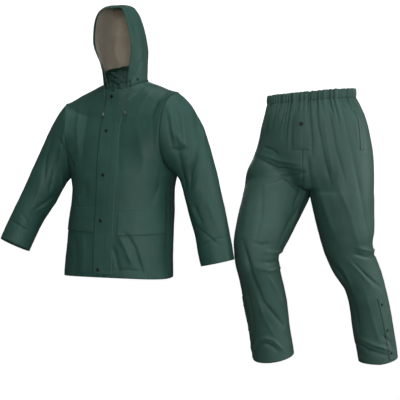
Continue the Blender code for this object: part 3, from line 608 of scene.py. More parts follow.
SHOWN_FOLDS: dict[Garment, tuple[Fold, ...]] = {
    Garment.JACKET: (
        Fold(((144, 86), (140, 91), (135.8, 95), (130.8, 99)), 1.6, -3.0),
        Fold(((150, 92), (144, 100), (138, 112)), 4.0, 2.5),
        Fold(((166, 93), (158, 100), (152, 115)), 3.4, -4.0, 0.4),
        Fold(((137, 128), (143, 160), (146, 200)), 9.0, 2.6),
        Fold(((120, 128), (119, 150), (119, 176)), 3.0, -1.6),
        Fold(((152, 120), (154, 150), (152, 185)), 5.0, -1.4),
        Fold(((129, 238), (135, 248), (139, 261), (143, 273)), 3.0, -5.0, 0.4),
        Fold(((121, 240), (126, 250), (131, 262)), 3.2, 4.5),
        Fold(((113, 248), (116, 258), (118, 268)), 2.4, -4.0),
        Fold(((115, 271), (128, 270), (141, 272)), 2.2, -2.2),
        Fold(((148, 240), (152, 255), (154, 272)), 3.6, 3.0),
        Fold(((171.7, 238), (170.5, 255), (169, 273)), 2.2, 3.0),
        Fold(((167.5, 195), (168, 222), (167.5, 250)), 2.6, -4.0),
        Fold(((166, 197), (170, 199)), 2.0, -3.0),
        Fold(((160, 176), (158, 190), (152, 204)), 2.6, -2.4, 0.3),
        Fold(((85.7, 184), (85.2, 197)), 3.0, -2.5),
        Fold(((88, 110), (84, 135), (82, 160)), 4.0, -3.0),
        Fold(((80, 104), (77, 128), (78, 150)), 3.0, 2.5),
        Fold(((78, 196), (80, 205)), 2.5, 2.0),
        Fold(((74, 236), (76, 255), (75, 270)), 3.0, -2.6),
        Fold(((83, 240), (84, 256), (82, 272)), 2.6, 2.2),
        Fold(((173.7, 97.5), (178.3, 113), (180.8, 127.5), (181.2, 137)), 1.3, -3.2, 0.3),
        Fold(((168.3, 107), (170.8, 118), (172.5, 130), (174, 138)), 1.4, 3.6),
        Fold(((166.5, 116), (169.5, 134), (172, 146)), 1.4, -4.2, -0.3),
        Fold(((176.5, 134), (180, 141), (184, 144)), 3.2, 6.0),
        Fold(((173, 149), (180, 150), (187, 148.5)), 1.5, -6.0, 0.5),
        Fold(((182.5, 126), (184, 137), (185, 145)), 1.3, 3.4),
        Fold(((183.7, 107), (185.4, 130), (186.7, 145)), 1.4, -3.6, 0.3),
        Fold(((178.5, 153), (181, 168), (184.5, 190)), 3.4, -7.0, -0.3),
        Fold(((190.5, 110), (192, 128), (192, 146)), 2.0, 3.0),
        Fold(((197.5, 116), (199, 138), (195.5, 160), (190.8, 173), (190.6, 184)), 2.4, -7.5, 0.4),
        Fold(((203, 128), (204, 146), (200, 168), (196, 184)), 3.2, 3.6),
        Fold(((195, 207), (198, 214), (201, 221)), 2.4, -3.4, 0.3),
        Fold(((206, 196), (212, 214), (218, 232)), 3.2, 2.6),
        Fold(((197, 227), (206, 234), (217, 243)), 1.6, -2.6, 0.4),
        Fold(((201, 246), (210, 241), (222, 238)), 1.7, -2.2, 0.3),
        Fold(((186, 196), (192, 210), (197, 222)), 2.4, 2.6),
        Fold(((52, 140), (46, 158), (44.5, 177)), 2.2, -3.6, 0.3),
        Fold(((57.5, 156), (54, 172), (50.5, 188)), 2.0, -4.4, 0.3),
        Fold(((61, 141), (67, 153), (73.5, 165)), 1.8, -4.0, 0.4),
        Fold(((66, 120), (64, 136), (60, 152)), 2.4, 3.4),
        Fold(((62, 172), (62, 186), (58, 200)), 2.4, 3.0),
        Fold(((57, 200), (52, 207), (46.4, 214)), 2.0, 3.8),
        Fold(((53, 197), (46, 203), (38, 208)), 2.0, -3.6, 0.3),
        Fold(((40, 184), (36, 200), (28, 216)), 2.6, 2.6),
        Fold(((14, 222), (20, 226), (27, 230)), 1.7, -2.6, 0.3),
        Fold(((22, 214), (28, 222), (32, 232)), 2.0, -2.0),
        Fold(((106, 70), (111, 76), (118, 78)), 1.3, -3.4, 0.4),
        Fold(((112, 66), (117, 71), (125, 70)), 1.4, 3.0),
        Fold(((110, 82), (118, 84), (127, 80)), 1.5, -3.0, 0.4),
        Fold(((127, 66), (128, 74), (126, 84)), 1.4, -3.0),
        Fold(((135, 12), (139.5, 30), (141, 52), (140.5, 74)), 3.4, 2.4),
        Fold(((141, 62), (137.5, 70), (134.6, 79)), 2.0, -3.2, 0.3),
        Fold(((135, 56), (136.2, 66), (135, 76)), 1.8, 2.0),
        Fold(((127.5, 9), (133, 20), (136.5, 36)), 1.6, -1.6),
    ),
    Garment.TROUSERS: (
        Fold(((316, 97), (318, 125), (326, 165), (330, 180)), 2.2, -3.4, 0.3),
        Fold(((326, 101), (332, 125), (336, 149), (344, 176)), 2.6, -3.0, 0.3),
        Fold(((321, 101), (325, 128), (331, 165)), 2.2, 2.2),
        Fold(((339, 99), (345, 120), (350, 146)), 2.4, -2.4, 0.3),
        Fold(((348, 96), (355, 118), (358, 140)), 2.2, 2.6),
        Fold(((283, 97), (281, 115), (277, 132)), 2.4, -2.4, 0.3),
        Fold(((290, 99), (289, 120), (288, 146)), 2.2, 1.8),
        Fold(((274, 103), (271, 117), (268, 128)), 2.0, 2.6),
        Fold(((309.5, 98), (311, 120), (312, 150)), 1.6, -2.4, 0.3),
        Fold(((265, 147), (271, 149), (277, 153)), 1.7, -3.6, 0.4),
        Fold(((262, 160), (278, 168), (298, 171)), 2.2, -5.0, 0.4),
        Fold(((262, 155), (280, 161), (298, 164)), 2.2, 3.2),
        Fold(((270, 184), (286, 178), (302, 174)), 2.0, -5.0, -0.4),
        Fold(((268, 176), (284, 173), (298, 168)), 1.8, 3.0),
        Fold(((303, 176), (300, 190), (295, 205)), 3.0, -5.5, -0.3),
        Fold(((306, 192), (297, 214), (287, 238)), 2.0, 3.4),
        Fold(((300, 206), (290, 222), (280, 242)), 2.2, -3.4, 0.3),
        Fold(((308, 160), (310, 176), (313, 196)), 3.0, -4.0, 0.3),
        Fold(((318, 184), (324, 205), (333, 232)), 4.6, 4.0),
        Fold(((352, 150), (360, 190), (368, 232)), 4.0, -3.2, 0.3),
        Fold(((340, 190), (350, 215), (358, 244)), 3.6, 2.6),
        Fold(((250, 190), (246, 215), (243, 238)), 4.0, 1.5),
        Fold(((262, 190), (262, 214), (256, 240)), 3.2, -2.0, 0.3),
        Fold(((245, 248), (252, 274), (264, 302), (279, 320)), 2.6, -6.0, 0.4),
        Fold(((281, 260), (272, 263.5), (262, 263)), 1.8, -5.0, 0.4),
        Fold(((282, 267), (270, 271), (258, 268)), 1.9, 4.0),
        Fold(((269, 244.5), (262, 245.5), (253, 243)), 1.6, -3.4, 0.4),
        Fold(((283, 251), (275, 253), (266, 252)), 1.6, 3.2),
        Fold(((271, 280), (277, 292), (283, 306)), 2.4, 3.6),
        Fold(((248, 292), (252, 312), (254, 330)), 2.8, -3.2, 0.3),
        Fold(((258, 300), (264, 318), (272, 332)), 2.6, 3.0),
        Fold(((252, 347), (257, 340.5), (265, 338), (273, 340), (280, 347)), 1.7, 4.4),
        Fold(((254, 351), (259, 345.5), (265, 343.5), (272, 345.5), (277, 350)), 1.8, -5.0, 0.4),
        Fold(((284, 326), (287, 338), (291, 349)), 2.2, 2.6),
        Fold(((378, 254), (368, 258), (357, 255.5)), 1.9, -6.0, 0.4),
        Fold(((381, 249), (370, 251), (358, 248)), 2.0, 4.0),
        Fold(((356, 265), (366, 275), (379, 286)), 1.9, -4.6, 0.4),
        Fold(((350, 262), (360, 272), (370, 284)), 2.2, 3.0),
        Fold(((329.5, 260), (336, 270), (344, 279)), 2.4, -5.6, 0.3),
        Fold(((338, 262), (346, 274), (352, 290)), 2.4, 3.2),
        Fold(((350, 292), (356, 312), (360, 334)), 3.0, -3.0, 0.3),
        Fold(((366, 296), (372, 318), (378, 338)), 3.0, 2.6),
        Fold(((357, 343), (368, 350), (382, 354)), 2.0, -6.0, 0.4),
        Fold(((361, 339), (374, 345), (390, 350)), 1.9, 4.4),
        Fold(((384, 336), (391, 343), (395, 350)), 1.7, -3.0, 0.4),
        Fold(((356, 352), (360, 358), (366, 360)), 1.8, 3.0),
    ),
}

HIDDEN_FOLDS: dict[Garment, tuple[Fold, ...]] = {
    Garment.JACKET: (
        Fold(((92, 110), (98, 150), (96, 196)), 6.0, -5.0),
        Fold(((146, 112), (140, 150), (142, 200)), 6.0, -5.0),
        Fold(((118, 98), (119, 140), (121, 190)), 8.0, 5.0),
        Fold(((84, 206), (100, 214), (118, 212)), 3.0, -4.0, 0.4),
        Fold(((118, 220), (136, 218), (154, 210)), 3.0, -4.0, 0.4),
        Fold(((96, 226), (104, 248), (108, 272)), 4.0, 4.0),
        Fold(((130, 226), (134, 250), (132, 272)), 4.0, -4.0, 0.3),
        Fold(((152, 224), (156, 248), (155, 270)), 3.4, 3.4),
        Fold(((78, 218), (82, 244), (80, 268)), 3.0, -3.4, 0.3),
        Fold(((70, 110), (73, 128), (76, 150)), 2.2, -4.6, 0.3),
        Fold(((66, 104), (68, 128), (70, 152)), 2.0, 3.4),
        Fold(((164, 108), (163, 128), (166, 152)), 2.2, -4.6, 0.3),
        Fold(((170, 104), (170, 126), (172, 150)), 2.0, 3.4),
        Fold(((178, 150), (186, 160), (196, 166)), 2.4, -5.0, 0.4),
        Fold(((182, 168), (190, 176), (200, 178)), 2.4, -4.6, 0.4),
        Fold(((188, 190), (198, 196), (208, 196)), 2.6, 3.6),
        Fold(((196, 206), (206, 214), (214, 216)), 2.2, -3.6, 0.4),
        Fold(((200, 228), (210, 232), (224, 232)), 2.0, -3.0, 0.3),
        Fold(((66, 158), (58, 168), (48, 172)), 2.4, -5.0, 0.4),
        Fold(((64, 176), (54, 184), (42, 186)), 2.4, -4.4, 0.4),
        Fold(((56, 196), (46, 202), (34, 204)), 2.4, 3.6),
        Fold(((44, 212), (34, 216), (22, 216)), 2.0, -3.2, 0.3),
        Fold(((108, 90), (118, 94), (130, 90)), 2.4, -3.4, 0.3),
        Fold(((104, 62), (116, 68), (132, 64)), 3.0, -3.0, 0.3),
        Fold(((124.5, 40), (124.5, 48), (122.5, 56)), 1.8, -4.0),
        Fold(((108, 22), (110, 36), (108, 52)), 3.4, 2.4),
    ),
    Garment.TROUSERS: (
        Fold(((318, 100), (322, 140), (322, 170)), 4.0, -4.0, 0.3),
        Fold(((288, 108), (284, 140), (288, 168)), 4.0, -4.0, 0.3),
        Fold(((340, 104), (346, 136), (344, 166)), 4.0, 3.4),
        Fold(((276, 176), (290, 184), (304, 182)), 2.6, -5.0, 0.4),
        Fold(((318, 184), (334, 188), (352, 178)), 2.6, -5.0, 0.4),
        Fold(((272, 192), (286, 200), (298, 200)), 2.6, 3.6),
        Fold(((330, 200), (344, 202), (358, 194)), 2.6, 3.6),
        Fold(((248, 236), (264, 244), (282, 242)), 2.4, -6.0, 0.4),
        Fold(((248, 250), (264, 258), (280, 256)), 2.4, -5.4, 0.4),
        Fold(((250, 264), (264, 270), (280, 266)), 2.4, -4.6, 0.4),
        Fold(((330, 236), (348, 246), (370, 242)), 2.4, -6.0, 0.4),
        Fold(((334, 252), (350, 260), (372, 256)), 2.4, -5.4, 0.4),
        Fold(((340, 268), (356, 274), (376, 270)), 2.4, -4.6, 0.4),
        Fold(((262, 290), (268, 310), (270, 330)), 3.6, 3.2),
        Fold(((362, 292), (370, 312), (374, 334)), 3.6, 3.2),
        Fold(((252, 342), (266, 348), (286, 344)), 2.0, -4.6, 0.4),
        Fold(((360, 346), (374, 352), (392, 348)), 2.0, -4.6, 0.4),
    ),
}


# Cloth


class Cut(NamedTuple):
    """What a piece was cut to before it was sewn: width, length and area, in metres."""

    width: float
    length: float
    area: float


class Sheet:
    """One cut piece of cloth, as a grid of places on its outer face."""

    def __init__(self, name: str, garment: Garment, grid: np.ndarray, flip: bool = False,
                 wrap: bool = False) -> None:
        """Keep the grid.

        Args:
            name: The piece's name.
            garment: The garment it belongs to.
            grid: Rows by columns by x, y, z, in millimetres.
            flip: True where rows and columns wind inwards.
            wrap: True where the last column joins the first.
        """
        self.name = name
        self.garment = garment
        self.grid = grid
        self.flip = flip
        self.wrap = wrap
        self.normals = np.zeros_like(grid)
        self.ways: np.ndarray | None = None

    @property
    def shape(self) -> tuple[int, int]:
        """Rows and columns."""
        return self.grid.shape[0], self.grid.shape[1]

    @property
    def edges(self) -> tuple[str, ...]:
        """The names of its open edges."""
        return EDGES[:2] if self.wrap else EDGES

    def quads(self) -> np.ndarray:
        """Corner numbers of every quad, wound outwards.

        Returns:
            Four corner numbers a row.
        """
        rows, columns = self.shape
        count = columns if self.wrap else columns - 1
        i, j = np.meshgrid(np.arange(rows - 1), np.arange(count), indexing="ij")
        k = (j + 1) % columns
        quads = np.stack([i * columns + j, i * columns + k, (i + 1) * columns + k,
                          (i + 1) * columns + j], -1).reshape(-1, 4)
        return quads[:, ::-1] if self.flip else quads

    def steps(self, axis: int) -> np.ndarray:
        """Running length along each column (axis 0) or each row (axis 1), in millimetres."""
        gaps = np.linalg.norm(np.diff(self.grid, axis=axis), axis=-1)
        return np.insert(np.cumsum(gaps, axis), 0, 0.0, axis)

    def from_edge(self, edge: str) -> np.ndarray:
        """How far each place is from one edge: first, last, left or right.

        Args:
            edge: The edge's name.

        Returns:
            Millimetres, rows by columns.
        """
        if edge in EDGES[:2]:
            run = self.steps(0)
            return run if edge == "first" else run[-1:] - run
        run = self.steps(1)
        return run if edge == "left" else run[:, -1:] - run

    def line(self, edge: str, inset: float, lift: float = 0.35) -> np.ndarray:
        """Places on the outer face at an even distance from an edge.

        Args:
            edge: The edge's name.
            inset: The distance from it.
            lift: How far the line stands off the face.

        Returns:
            The line's places, one a row.
        """
        away = self.from_edge(edge)
        raised = self.grid + self.normals * lift
        if edge in EDGES[:2]:
            away, raised = away.T, raised.transpose(1, 0, 2)
        if edge in ("last", "right"):
            away, raised = away[:, ::-1], raised[:, ::-1]
        found = []
        for run, places in zip(away, raised):
            found.append([np.interp(inset, run, places[:, c]) for c in range(3)])
        if self.wrap and edge in EDGES[:2]:
            found.append(found[0])
        return np.array(found)

    def measured(self) -> Cut:
        """The cloth's own size along its rows and columns.

        Returns:
            Its width, length and area.
        """
        across = self.steps(1)[:, -1]
        if self.wrap:
            across = across + np.linalg.norm(self.grid[:, 0] - self.grid[:, -1], axis=-1)
        quads = self.grid.reshape(-1, 3)[self.quads()]
        crossed = np.cross(quads[:, 2] - quads[:, 0], quads[:, 3] - quads[:, 1])
        area = np.linalg.norm(crossed, axis=1).sum() / 2
        return Cut(float(across.max()) * MM, float(self.steps(0)[-1].max()) * MM,
                   float(area) * MM * MM)


# Keeps seam places off the exact halves, where rounding would part two that are the same
WELD_SHIFT = 0.0031


def weld_normals(sheets: Sequence[Sheet]) -> None:
    """Give every sheet smooth normals that its neighbours share along the seams.

    Args:
        sheets: The sheets, whose normals are set.
    """
    places = np.concatenate([s.grid.reshape(-1, 3) for s in sheets])
    _, same = np.unique(np.round(places + WELD_SHIFT, 2), axis=0, return_inverse=True)
    same = same.reshape(-1)
    total = np.zeros((same.max() + 1, 3))
    base = 0
    for sheet in sheets:
        quads = sheet.quads() + base
        crossed = np.cross(places[quads[:, 2]] - places[quads[:, 0]],
                           places[quads[:, 3]] - places[quads[:, 1]])
        for corner in range(4):
            np.add.at(total, same[quads[:, corner]], crossed)
        base += sheet.grid.shape[0] * sheet.grid.shape[1]
    normals = unit(total)[same]
    base = 0
    for sheet in sheets:
        size = sheet.grid.shape[0] * sheet.grid.shape[1]
        sheet.normals = normals[base:base + size].reshape(sheet.grid.shape)
        base += size


def fold_height(places: np.ndarray, fold: Fold) -> np.ndarray:
    """How far one fold moves the cloth at some sight places.

    Args:
        places: Sight steps, one pair a row.
        fold: The fold.

    Returns:
        Millimetres outwards, one a row.
    """
    path = np.array(fold.path, float)
    gaps = np.diff(path, axis=0)
    spans = np.linalg.norm(gaps, axis=1)
    starts = np.concatenate([[0.0], np.cumsum(spans)])
    best = np.full(len(places), np.inf)
    run = np.zeros(len(places))
    hand = np.zeros(len(places))
    for start, gap, span, before in zip(path[:-1], gaps, spans, starts):
        off = places - start
        t = np.clip((off @ gap) / (span * span), -0.35, 1.35)
        if before > 0:
            t = np.maximum(t, 0.0)
        if before + span < starts[-1] - 1e-6:
            t = np.minimum(t, 1.0)
        rest = off - t[:, None] * gap
        away = np.linalg.norm(rest, axis=1)
        nearer = away < best
        best = np.where(nearer, away, best)
        run = np.where(nearer, before + t * span, run)
        cross = gap[0] * off[:, 1] - gap[1] * off[:, 0]
        hand = np.where(nearer, np.sign(cross), hand)
    share = run / starts[-1]
    ends = ease((share + 0.3) / 0.5) * ease((1.3 - share) / 0.5)
    width = fold.width * (1 + fold.lean * hand)
    swell = 0.82 + 0.18 * np.sin(share * 7.0 + path[0, 0])
    bell = np.exp(-(best / width) ** 2)
    crest = 1.0 / (1.0 + (best / (0.55 * width)) ** 2) ** 2
    return fold.deep * swell * mix(bell, crest, 0.45) * ends


def rumple(places: np.ndarray, size: float, seed: float, stretch: float = 1.0) -> np.ndarray:
    """Even noise from -1 to 1 over places, features about size millimetres across.

    Args:
        places: Places in millimetres, one a row.
        size: How wide a feature is.
        seed: Where in the noise it starts.
        stretch: How much taller than wide a feature is.

    Returns:
        The noise, one value a row.
    """
    scaled = places / size
    return np.array([noise.noise(Vector((x + seed, y - seed, z / stretch + seed)))
                     for x, y, z in scaled])


FOLD_GAIN: dict[Garment, float] = {Garment.JACKET: 1.5, Garment.TROUSERS: 1.45}


class Stir(NamedTuple):
    """Uneven cloth: how high and how wide it swells, where the noise starts, its stretch."""

    high: float
    size: float
    seed: float
    stretch: float = 1.0

    def over(self, places: np.ndarray) -> np.ndarray:
        """Its height at some places, in millimetres."""
        return self.high * rumple(places, self.size, self.seed, self.stretch)


CLOTH_STIRS = (Stir(1.5, 58.0, 3.1, 1.7), Stir(0.5, 19.0, 8.7, 1.4))
SEAM_PUCKER = Stir(0.5, 7.0, 1.3)
SEAM_REACH = 3.2
PUCKER_REACH = 9.0


def press_folds(sheets: Sequence[Sheet], seam: float = 0.45) -> None:
    """Press the placed folds, a light rumple and the seams' pull into welded sheets.

    Args:
        sheets: The sheets of one garment.
        seam: How far a seam pulls the cloth in, in millimetres.
    """
    weld_normals(sheets)
    toward = SIGHT.backward()
    for sheet in sheets:
        sheet.ways = sheet.normals.copy()
        flat = sheet.grid.reshape(-1, 3)
        normals = sheet.normals.reshape(-1, 3)
        seen = SIGHT.places(flat)
        facing = normals @ toward
        push = np.zeros(len(flat))
        gain = FOLD_GAIN[sheet.garment]
        for folds, look in ((SHOWN_FOLDS[sheet.garment], facing),
                            (HIDDEN_FOLDS[sheet.garment], -facing)):
            weight = np.clip((look + 0.12) * 3.0, 0.0, 1.0)
            near = np.nonzero(weight > 0)[0]
            for fold in folds:
                low = np.min(fold.path, 0) - 4 * fold.width
                high = np.max(fold.path, 0) + 4 * fold.width
                inside = near[np.all((seen[near] > low) & (seen[near] < high), 1)]
                if len(inside):
                    push[inside] += fold_height(seen[inside], fold) * weight[inside] * gain
        push += sum(stir.over(flat) for stir in CLOTH_STIRS)
        sheet.grid = (flat + normals * push[:, None]).reshape(sheet.grid.shape)
    weld_normals(sheets)
    if not seam:
        return
    for sheet in sheets:
        pull, fade = np.zeros(sheet.shape), np.zeros(sheet.shape)
        for edge in sheet.edges:
            away = sheet.from_edge(edge)
            pull = np.maximum(pull, np.exp(-(away / SEAM_REACH) ** 2))
            fade = np.maximum(fade, np.exp(-(away / PUCKER_REACH) ** 2))
        pucker = SEAM_PUCKER.over(sheet.grid.reshape(-1, 3)).reshape(sheet.shape)
        move = -seam * pull + pucker * fade * (1 - pull)
        sheet.grid = sheet.grid + sheet.normals * move[..., None]


@dataclass
class Maker:
    """Turns sheets and solids into finished pieces."""

    palette: Palette
    allowance: float = 24.0
    hem_fold: float = 0.7
    hem_wear: float = 2.5
    welt_high: float = 9.0
    welt_wide: float = 3.2

    def add(self, name: str, places: np.ndarray, faces: list, materials: Sequence,
            numbers: np.ndarray | None = None, flats: np.ndarray | None = None,
            rubs: np.ndarray | None = None) -> bpy.types.Object:
        """Make one mesh piece.

        Args:
            name: The piece's name.
            places: Vertices, in millimetres.
            faces: Corner numbers.
            materials: The piece's materials.
            numbers: Each face's material number.
            flats: Each vertex's place on the cut cloth, in metres.
            rubs: How worn each vertex is, 0 to 1.

        Returns:
            The piece, linked to the scene.
        """
        mesh = bpy.data.meshes.new(name)
        mesh.from_pydata((places * MM).tolist(), [], faces)
        for material in materials:
            mesh.materials.append(material)
        if numbers is not None:
            mesh.polygons.foreach_set("material_index", numbers.astype(np.int32))
        mesh.polygons.foreach_set("use_smooth", np.ones(len(mesh.polygons), bool))
        if flats is not None:
            layer = mesh.uv_layers.new(name="cut")
            corners = np.zeros(len(mesh.loops), np.int32)
            mesh.loops.foreach_get("vertex_index", corners)
            layer.data.foreach_set("uv", flats[corners].astype(np.float32).ravel())
        if rubs is not None:
            worn = mesh.attributes.new("rub", "FLOAT", "POINT")
            worn.data.foreach_set("value", rubs.astype(np.float32))
        mesh.update()
        piece = bpy.data.objects.new(name, mesh)
        bpy.context.scene.collection.objects.link(piece)
        return piece

    def cloth(self, sheet: Sheet, hem: float = HEM, free: Sequence[str] = (),
              wall: float = WALL, welt: Sequence[str] = (), both: bool = False
              ) -> bpy.types.Object:
        """Close a sheet into a wall with its coated and its backing side.

        Args:
            sheet: The sheet.
            hem: How far in from a free edge the coated side is turned.
            free: Edges with a turned hem.
            wall: The cloth's thickness.
            welt: Edges with a seam allowance that stands inwards.
            both: True where both sides are coated.

        Returns:
            The piece.
        """
        rows, columns = sheet.shape
        outer = sheet.grid.reshape(-1, 3)
        ways = (sheet.normals if sheet.ways is None else sheet.ways).reshape(-1, 3)
        thick = np.full((rows, columns), wall)
        turned_in = np.zeros((rows, columns), bool)
        worn = np.zeros((rows, columns))
        for edge in free:
            away = sheet.from_edge(edge)
            turned_in |= away < hem
            thick = thick + self.hem_fold * (1 - ease((away - hem) / 2.0))
            worn = np.maximum(worn, np.exp(-(away / self.hem_wear) ** 2))
        for edge in welt:
            away = sheet.from_edge(edge)
            wave = 0.75 + 0.5 * rumple(outer, 15.0, 5.5).reshape(rows, columns)
            thick = thick + self.welt_high * np.exp(-(away / self.welt_wide) ** 2) * wave
        if not sheet.name.startswith("hood"):
            for edge in sheet.edges:
                turned_in |= sheet.from_edge(edge) < self.allowance
        inner = outer - ways * thick.reshape(-1, 1)
        count = len(outer)
        quads = sheet.quads()
        inside = quads[:, [0, 3, 2, 1]] + count
        turned_face = turned_in.reshape(-1)[quads].all(1)
        rim = self.rim(sheet, count)
        faces = np.concatenate([quads, inside, rim]).tolist()
        numbers = np.concatenate([np.zeros(len(quads)), np.where(turned_face | both, 0, 1),
                                  np.zeros(len(rim))])
        flats = np.stack([sheet.steps(1), sheet.steps(0)], -1).reshape(-1, 2) * MM
        rubs = np.concatenate([worn.reshape(-1), worn.reshape(-1)])
        face = self.palette.coated if sheet.garment is Garment.JACKET else self.palette.legs
        # The collar takes the darkened copy of the coated cloth: painted shade for the hood's
        # shadow.
        if sheet.name.startswith("collar"):
            face = self.palette.collar
        piece = self.add(sheet.name, np.concatenate([outer, inner]), faces,
                         [face, self.palette.backing], numbers,
                         np.concatenate([flats, flats]), rubs)
        return self.merged(piece)

    @staticmethod
    def merged(piece: bpy.types.Object) -> bpy.types.Object:
        """Merge what shares a place, so that poles and closed seams have no split.

        Args:
            piece: The piece.

        Returns:
            The same piece.
        """
        work = bmesh.new()
        work.from_mesh(piece.data)
        bmesh.ops.remove_doubles(work, verts=work.verts, dist=2e-6)
        bmesh.ops.dissolve_degenerate(work, edges=work.edges, dist=1e-7)
        work.to_mesh(piece.data)
        work.free()
        return piece

    @staticmethod
    def rim(sheet: Sheet, count: int) -> np.ndarray:
        """Faces that close a sheet's edges between its two sides.

        Args:
            sheet: The sheet.
            count: How many places one side has.

        Returns:
            Four corner numbers a row.
        """
        rows, columns = sheet.shape
        grid = np.arange(rows * columns).reshape(rows, columns)
        if sheet.wrap:
            loops = [np.append(grid[0], grid[0, 0])[::-1], np.append(grid[-1], grid[-1, 0])]
        else:
            loops = [np.concatenate([grid[-1], grid[-2::-1, -1], grid[0, -2::-1],
                                     grid[1:, 0]])]
        found = []
        for loop in loops:
            a, b = loop[:-1], loop[1:]
            found.append(np.stack([a, b, b + count, a + count], 1))
        faces = np.concatenate(found)
        return faces[:, ::-1] if sheet.flip else faces

    def lathe(self, name: str, place: np.ndarray, axis: np.ndarray,
              profile: Sequence[tuple[float, float]], material: bpy.types.Material,
              sides: int = 40) -> bpy.types.Object:
        """A turned piece about an axis.

        Args:
            name: The piece's name.
            place: Where its foot is.
            axis: Which way it stands.
            profile: Radius and height of each ring, foot to crown.
            material: Its finish.
            sides: How many sides its rings have.

        Returns:
            The piece.
        """
        up = Vector(axis).normalized()
        side = up.orthogonal().normalized()
        up, side = np.array(up), np.array(side)
        other = np.cross(up, side)
        rings, places, faces = [], [], []
        for radius, height in profile:
            foot = np.array(place) + up * height
            count = sides if radius > 0 else 1
            rings.append(range(len(places), len(places) + count))
            for a in (2 * math.pi * k / sides for k in range(count)):
                places.append(foot + side * (radius * math.cos(a)) + other * (radius * math.sin(a)))
        closed = profile[0][0] > 0
        for low, high in zip(rings, rings[1:] + rings[:1] if closed else rings[1:]):
            for k in range(sides):
                m = (k + 1) % sides
                if len(low) == 1:
                    faces.append((low[0], high[m], high[k]))
                elif len(high) == 1:
                    faces.append((low[k], low[m], high[0]))
                else:
                    faces.append((low[k], low[m], high[m], high[k]))
        return self.add(name, np.array(places), faces, [material])


class Skin:
    """The outer faces of some sheets, to lay smaller pieces on."""

    def __init__(self, sheets: Sequence[Sheet]) -> None:
        """Join the sheets' faces into one search tree.

        Args:
            sheets: The sheets.
        """
        base, places, normals, quads = 0, [], [], []
        for sheet in sheets:
            places.append(sheet.grid.reshape(-1, 3))
            normals.append(sheet.normals.reshape(-1, 3))
            quads.append(sheet.quads() + base)
            base += len(places[-1])
        self.places = np.concatenate(places)
        self.normals = np.concatenate(normals)
        self.quads = np.concatenate(quads)
        self.tree = BVHTree.FromPolygons(self.places.tolist(), self.quads.tolist())

    def normal(self, place: Vector, number: int) -> np.ndarray:
        """The smooth normal at a place of one face.

        Args:
            place: The place.
            number: The face's number.

        Returns:
            The normal.
        """
        corners = self.quads[number]
        away = np.linalg.norm(self.places[corners] - np.array(place), axis=1) + 0.5
        return unit((self.normals[corners] / away[:, None]).sum(0))

    def at(self, x: float, z: float, face: int = -1) -> tuple[np.ndarray, np.ndarray]:
        """The place and normal straight behind x, z on the side that shows.

        Args:
            x: How far along +X, in millimetres.
            z: The height, in millimetres.
            face: -1 for the side that shows, 1 for the back.

        Returns:
            The place and the normal.
        """
        hits = [self.tree.ray_cast(Vector((x + aside, 3000.0 * face, z)), Vector((0, -face, 0)))
                for aside in (-0.3, 0.0, 0.3)]
        hits = [hit for hit in hits if hit[0] is not None]
        if not hits:
            raise ValueError(f"no cloth at {x:.0f}, {z:.0f}")
        place, _, number, _ = min(hits, key=lambda hit: -face * hit[0].y)
        return np.array(place), self.normal(place, number)

    def near(self, target: Sequence[float]) -> tuple[np.ndarray, np.ndarray]:
        """The place and normal nearest to a target."""
        place, _, number, _ = self.tree.find_nearest(Vector(target))
        return np.array(place), self.normal(place, number)


def laid_sheet(name: str, garment: Garment, pairs: Sequence, lift: np.ndarray,
               flip: bool = False) -> Sheet:
    """A flat piece lying on cloth.

    Args:
        name: The piece's name.
        garment: The garment that carries it.
        pairs: Rows of places and normals on the cloth.
        lift: How far its outer face stands off, rows by columns.
        flip: True where rows and columns wind inwards.

    Returns:
        The sheet, with its normals.
    """
    places = np.array([[p for p, _ in row] for row in pairs])
    normals = np.array([[n for _, n in row] for row in pairs])
    sheet = Sheet(name, garment, places + normals * lift[..., None], flip)
    weld_normals([sheet])
    return sheet


# Stitches


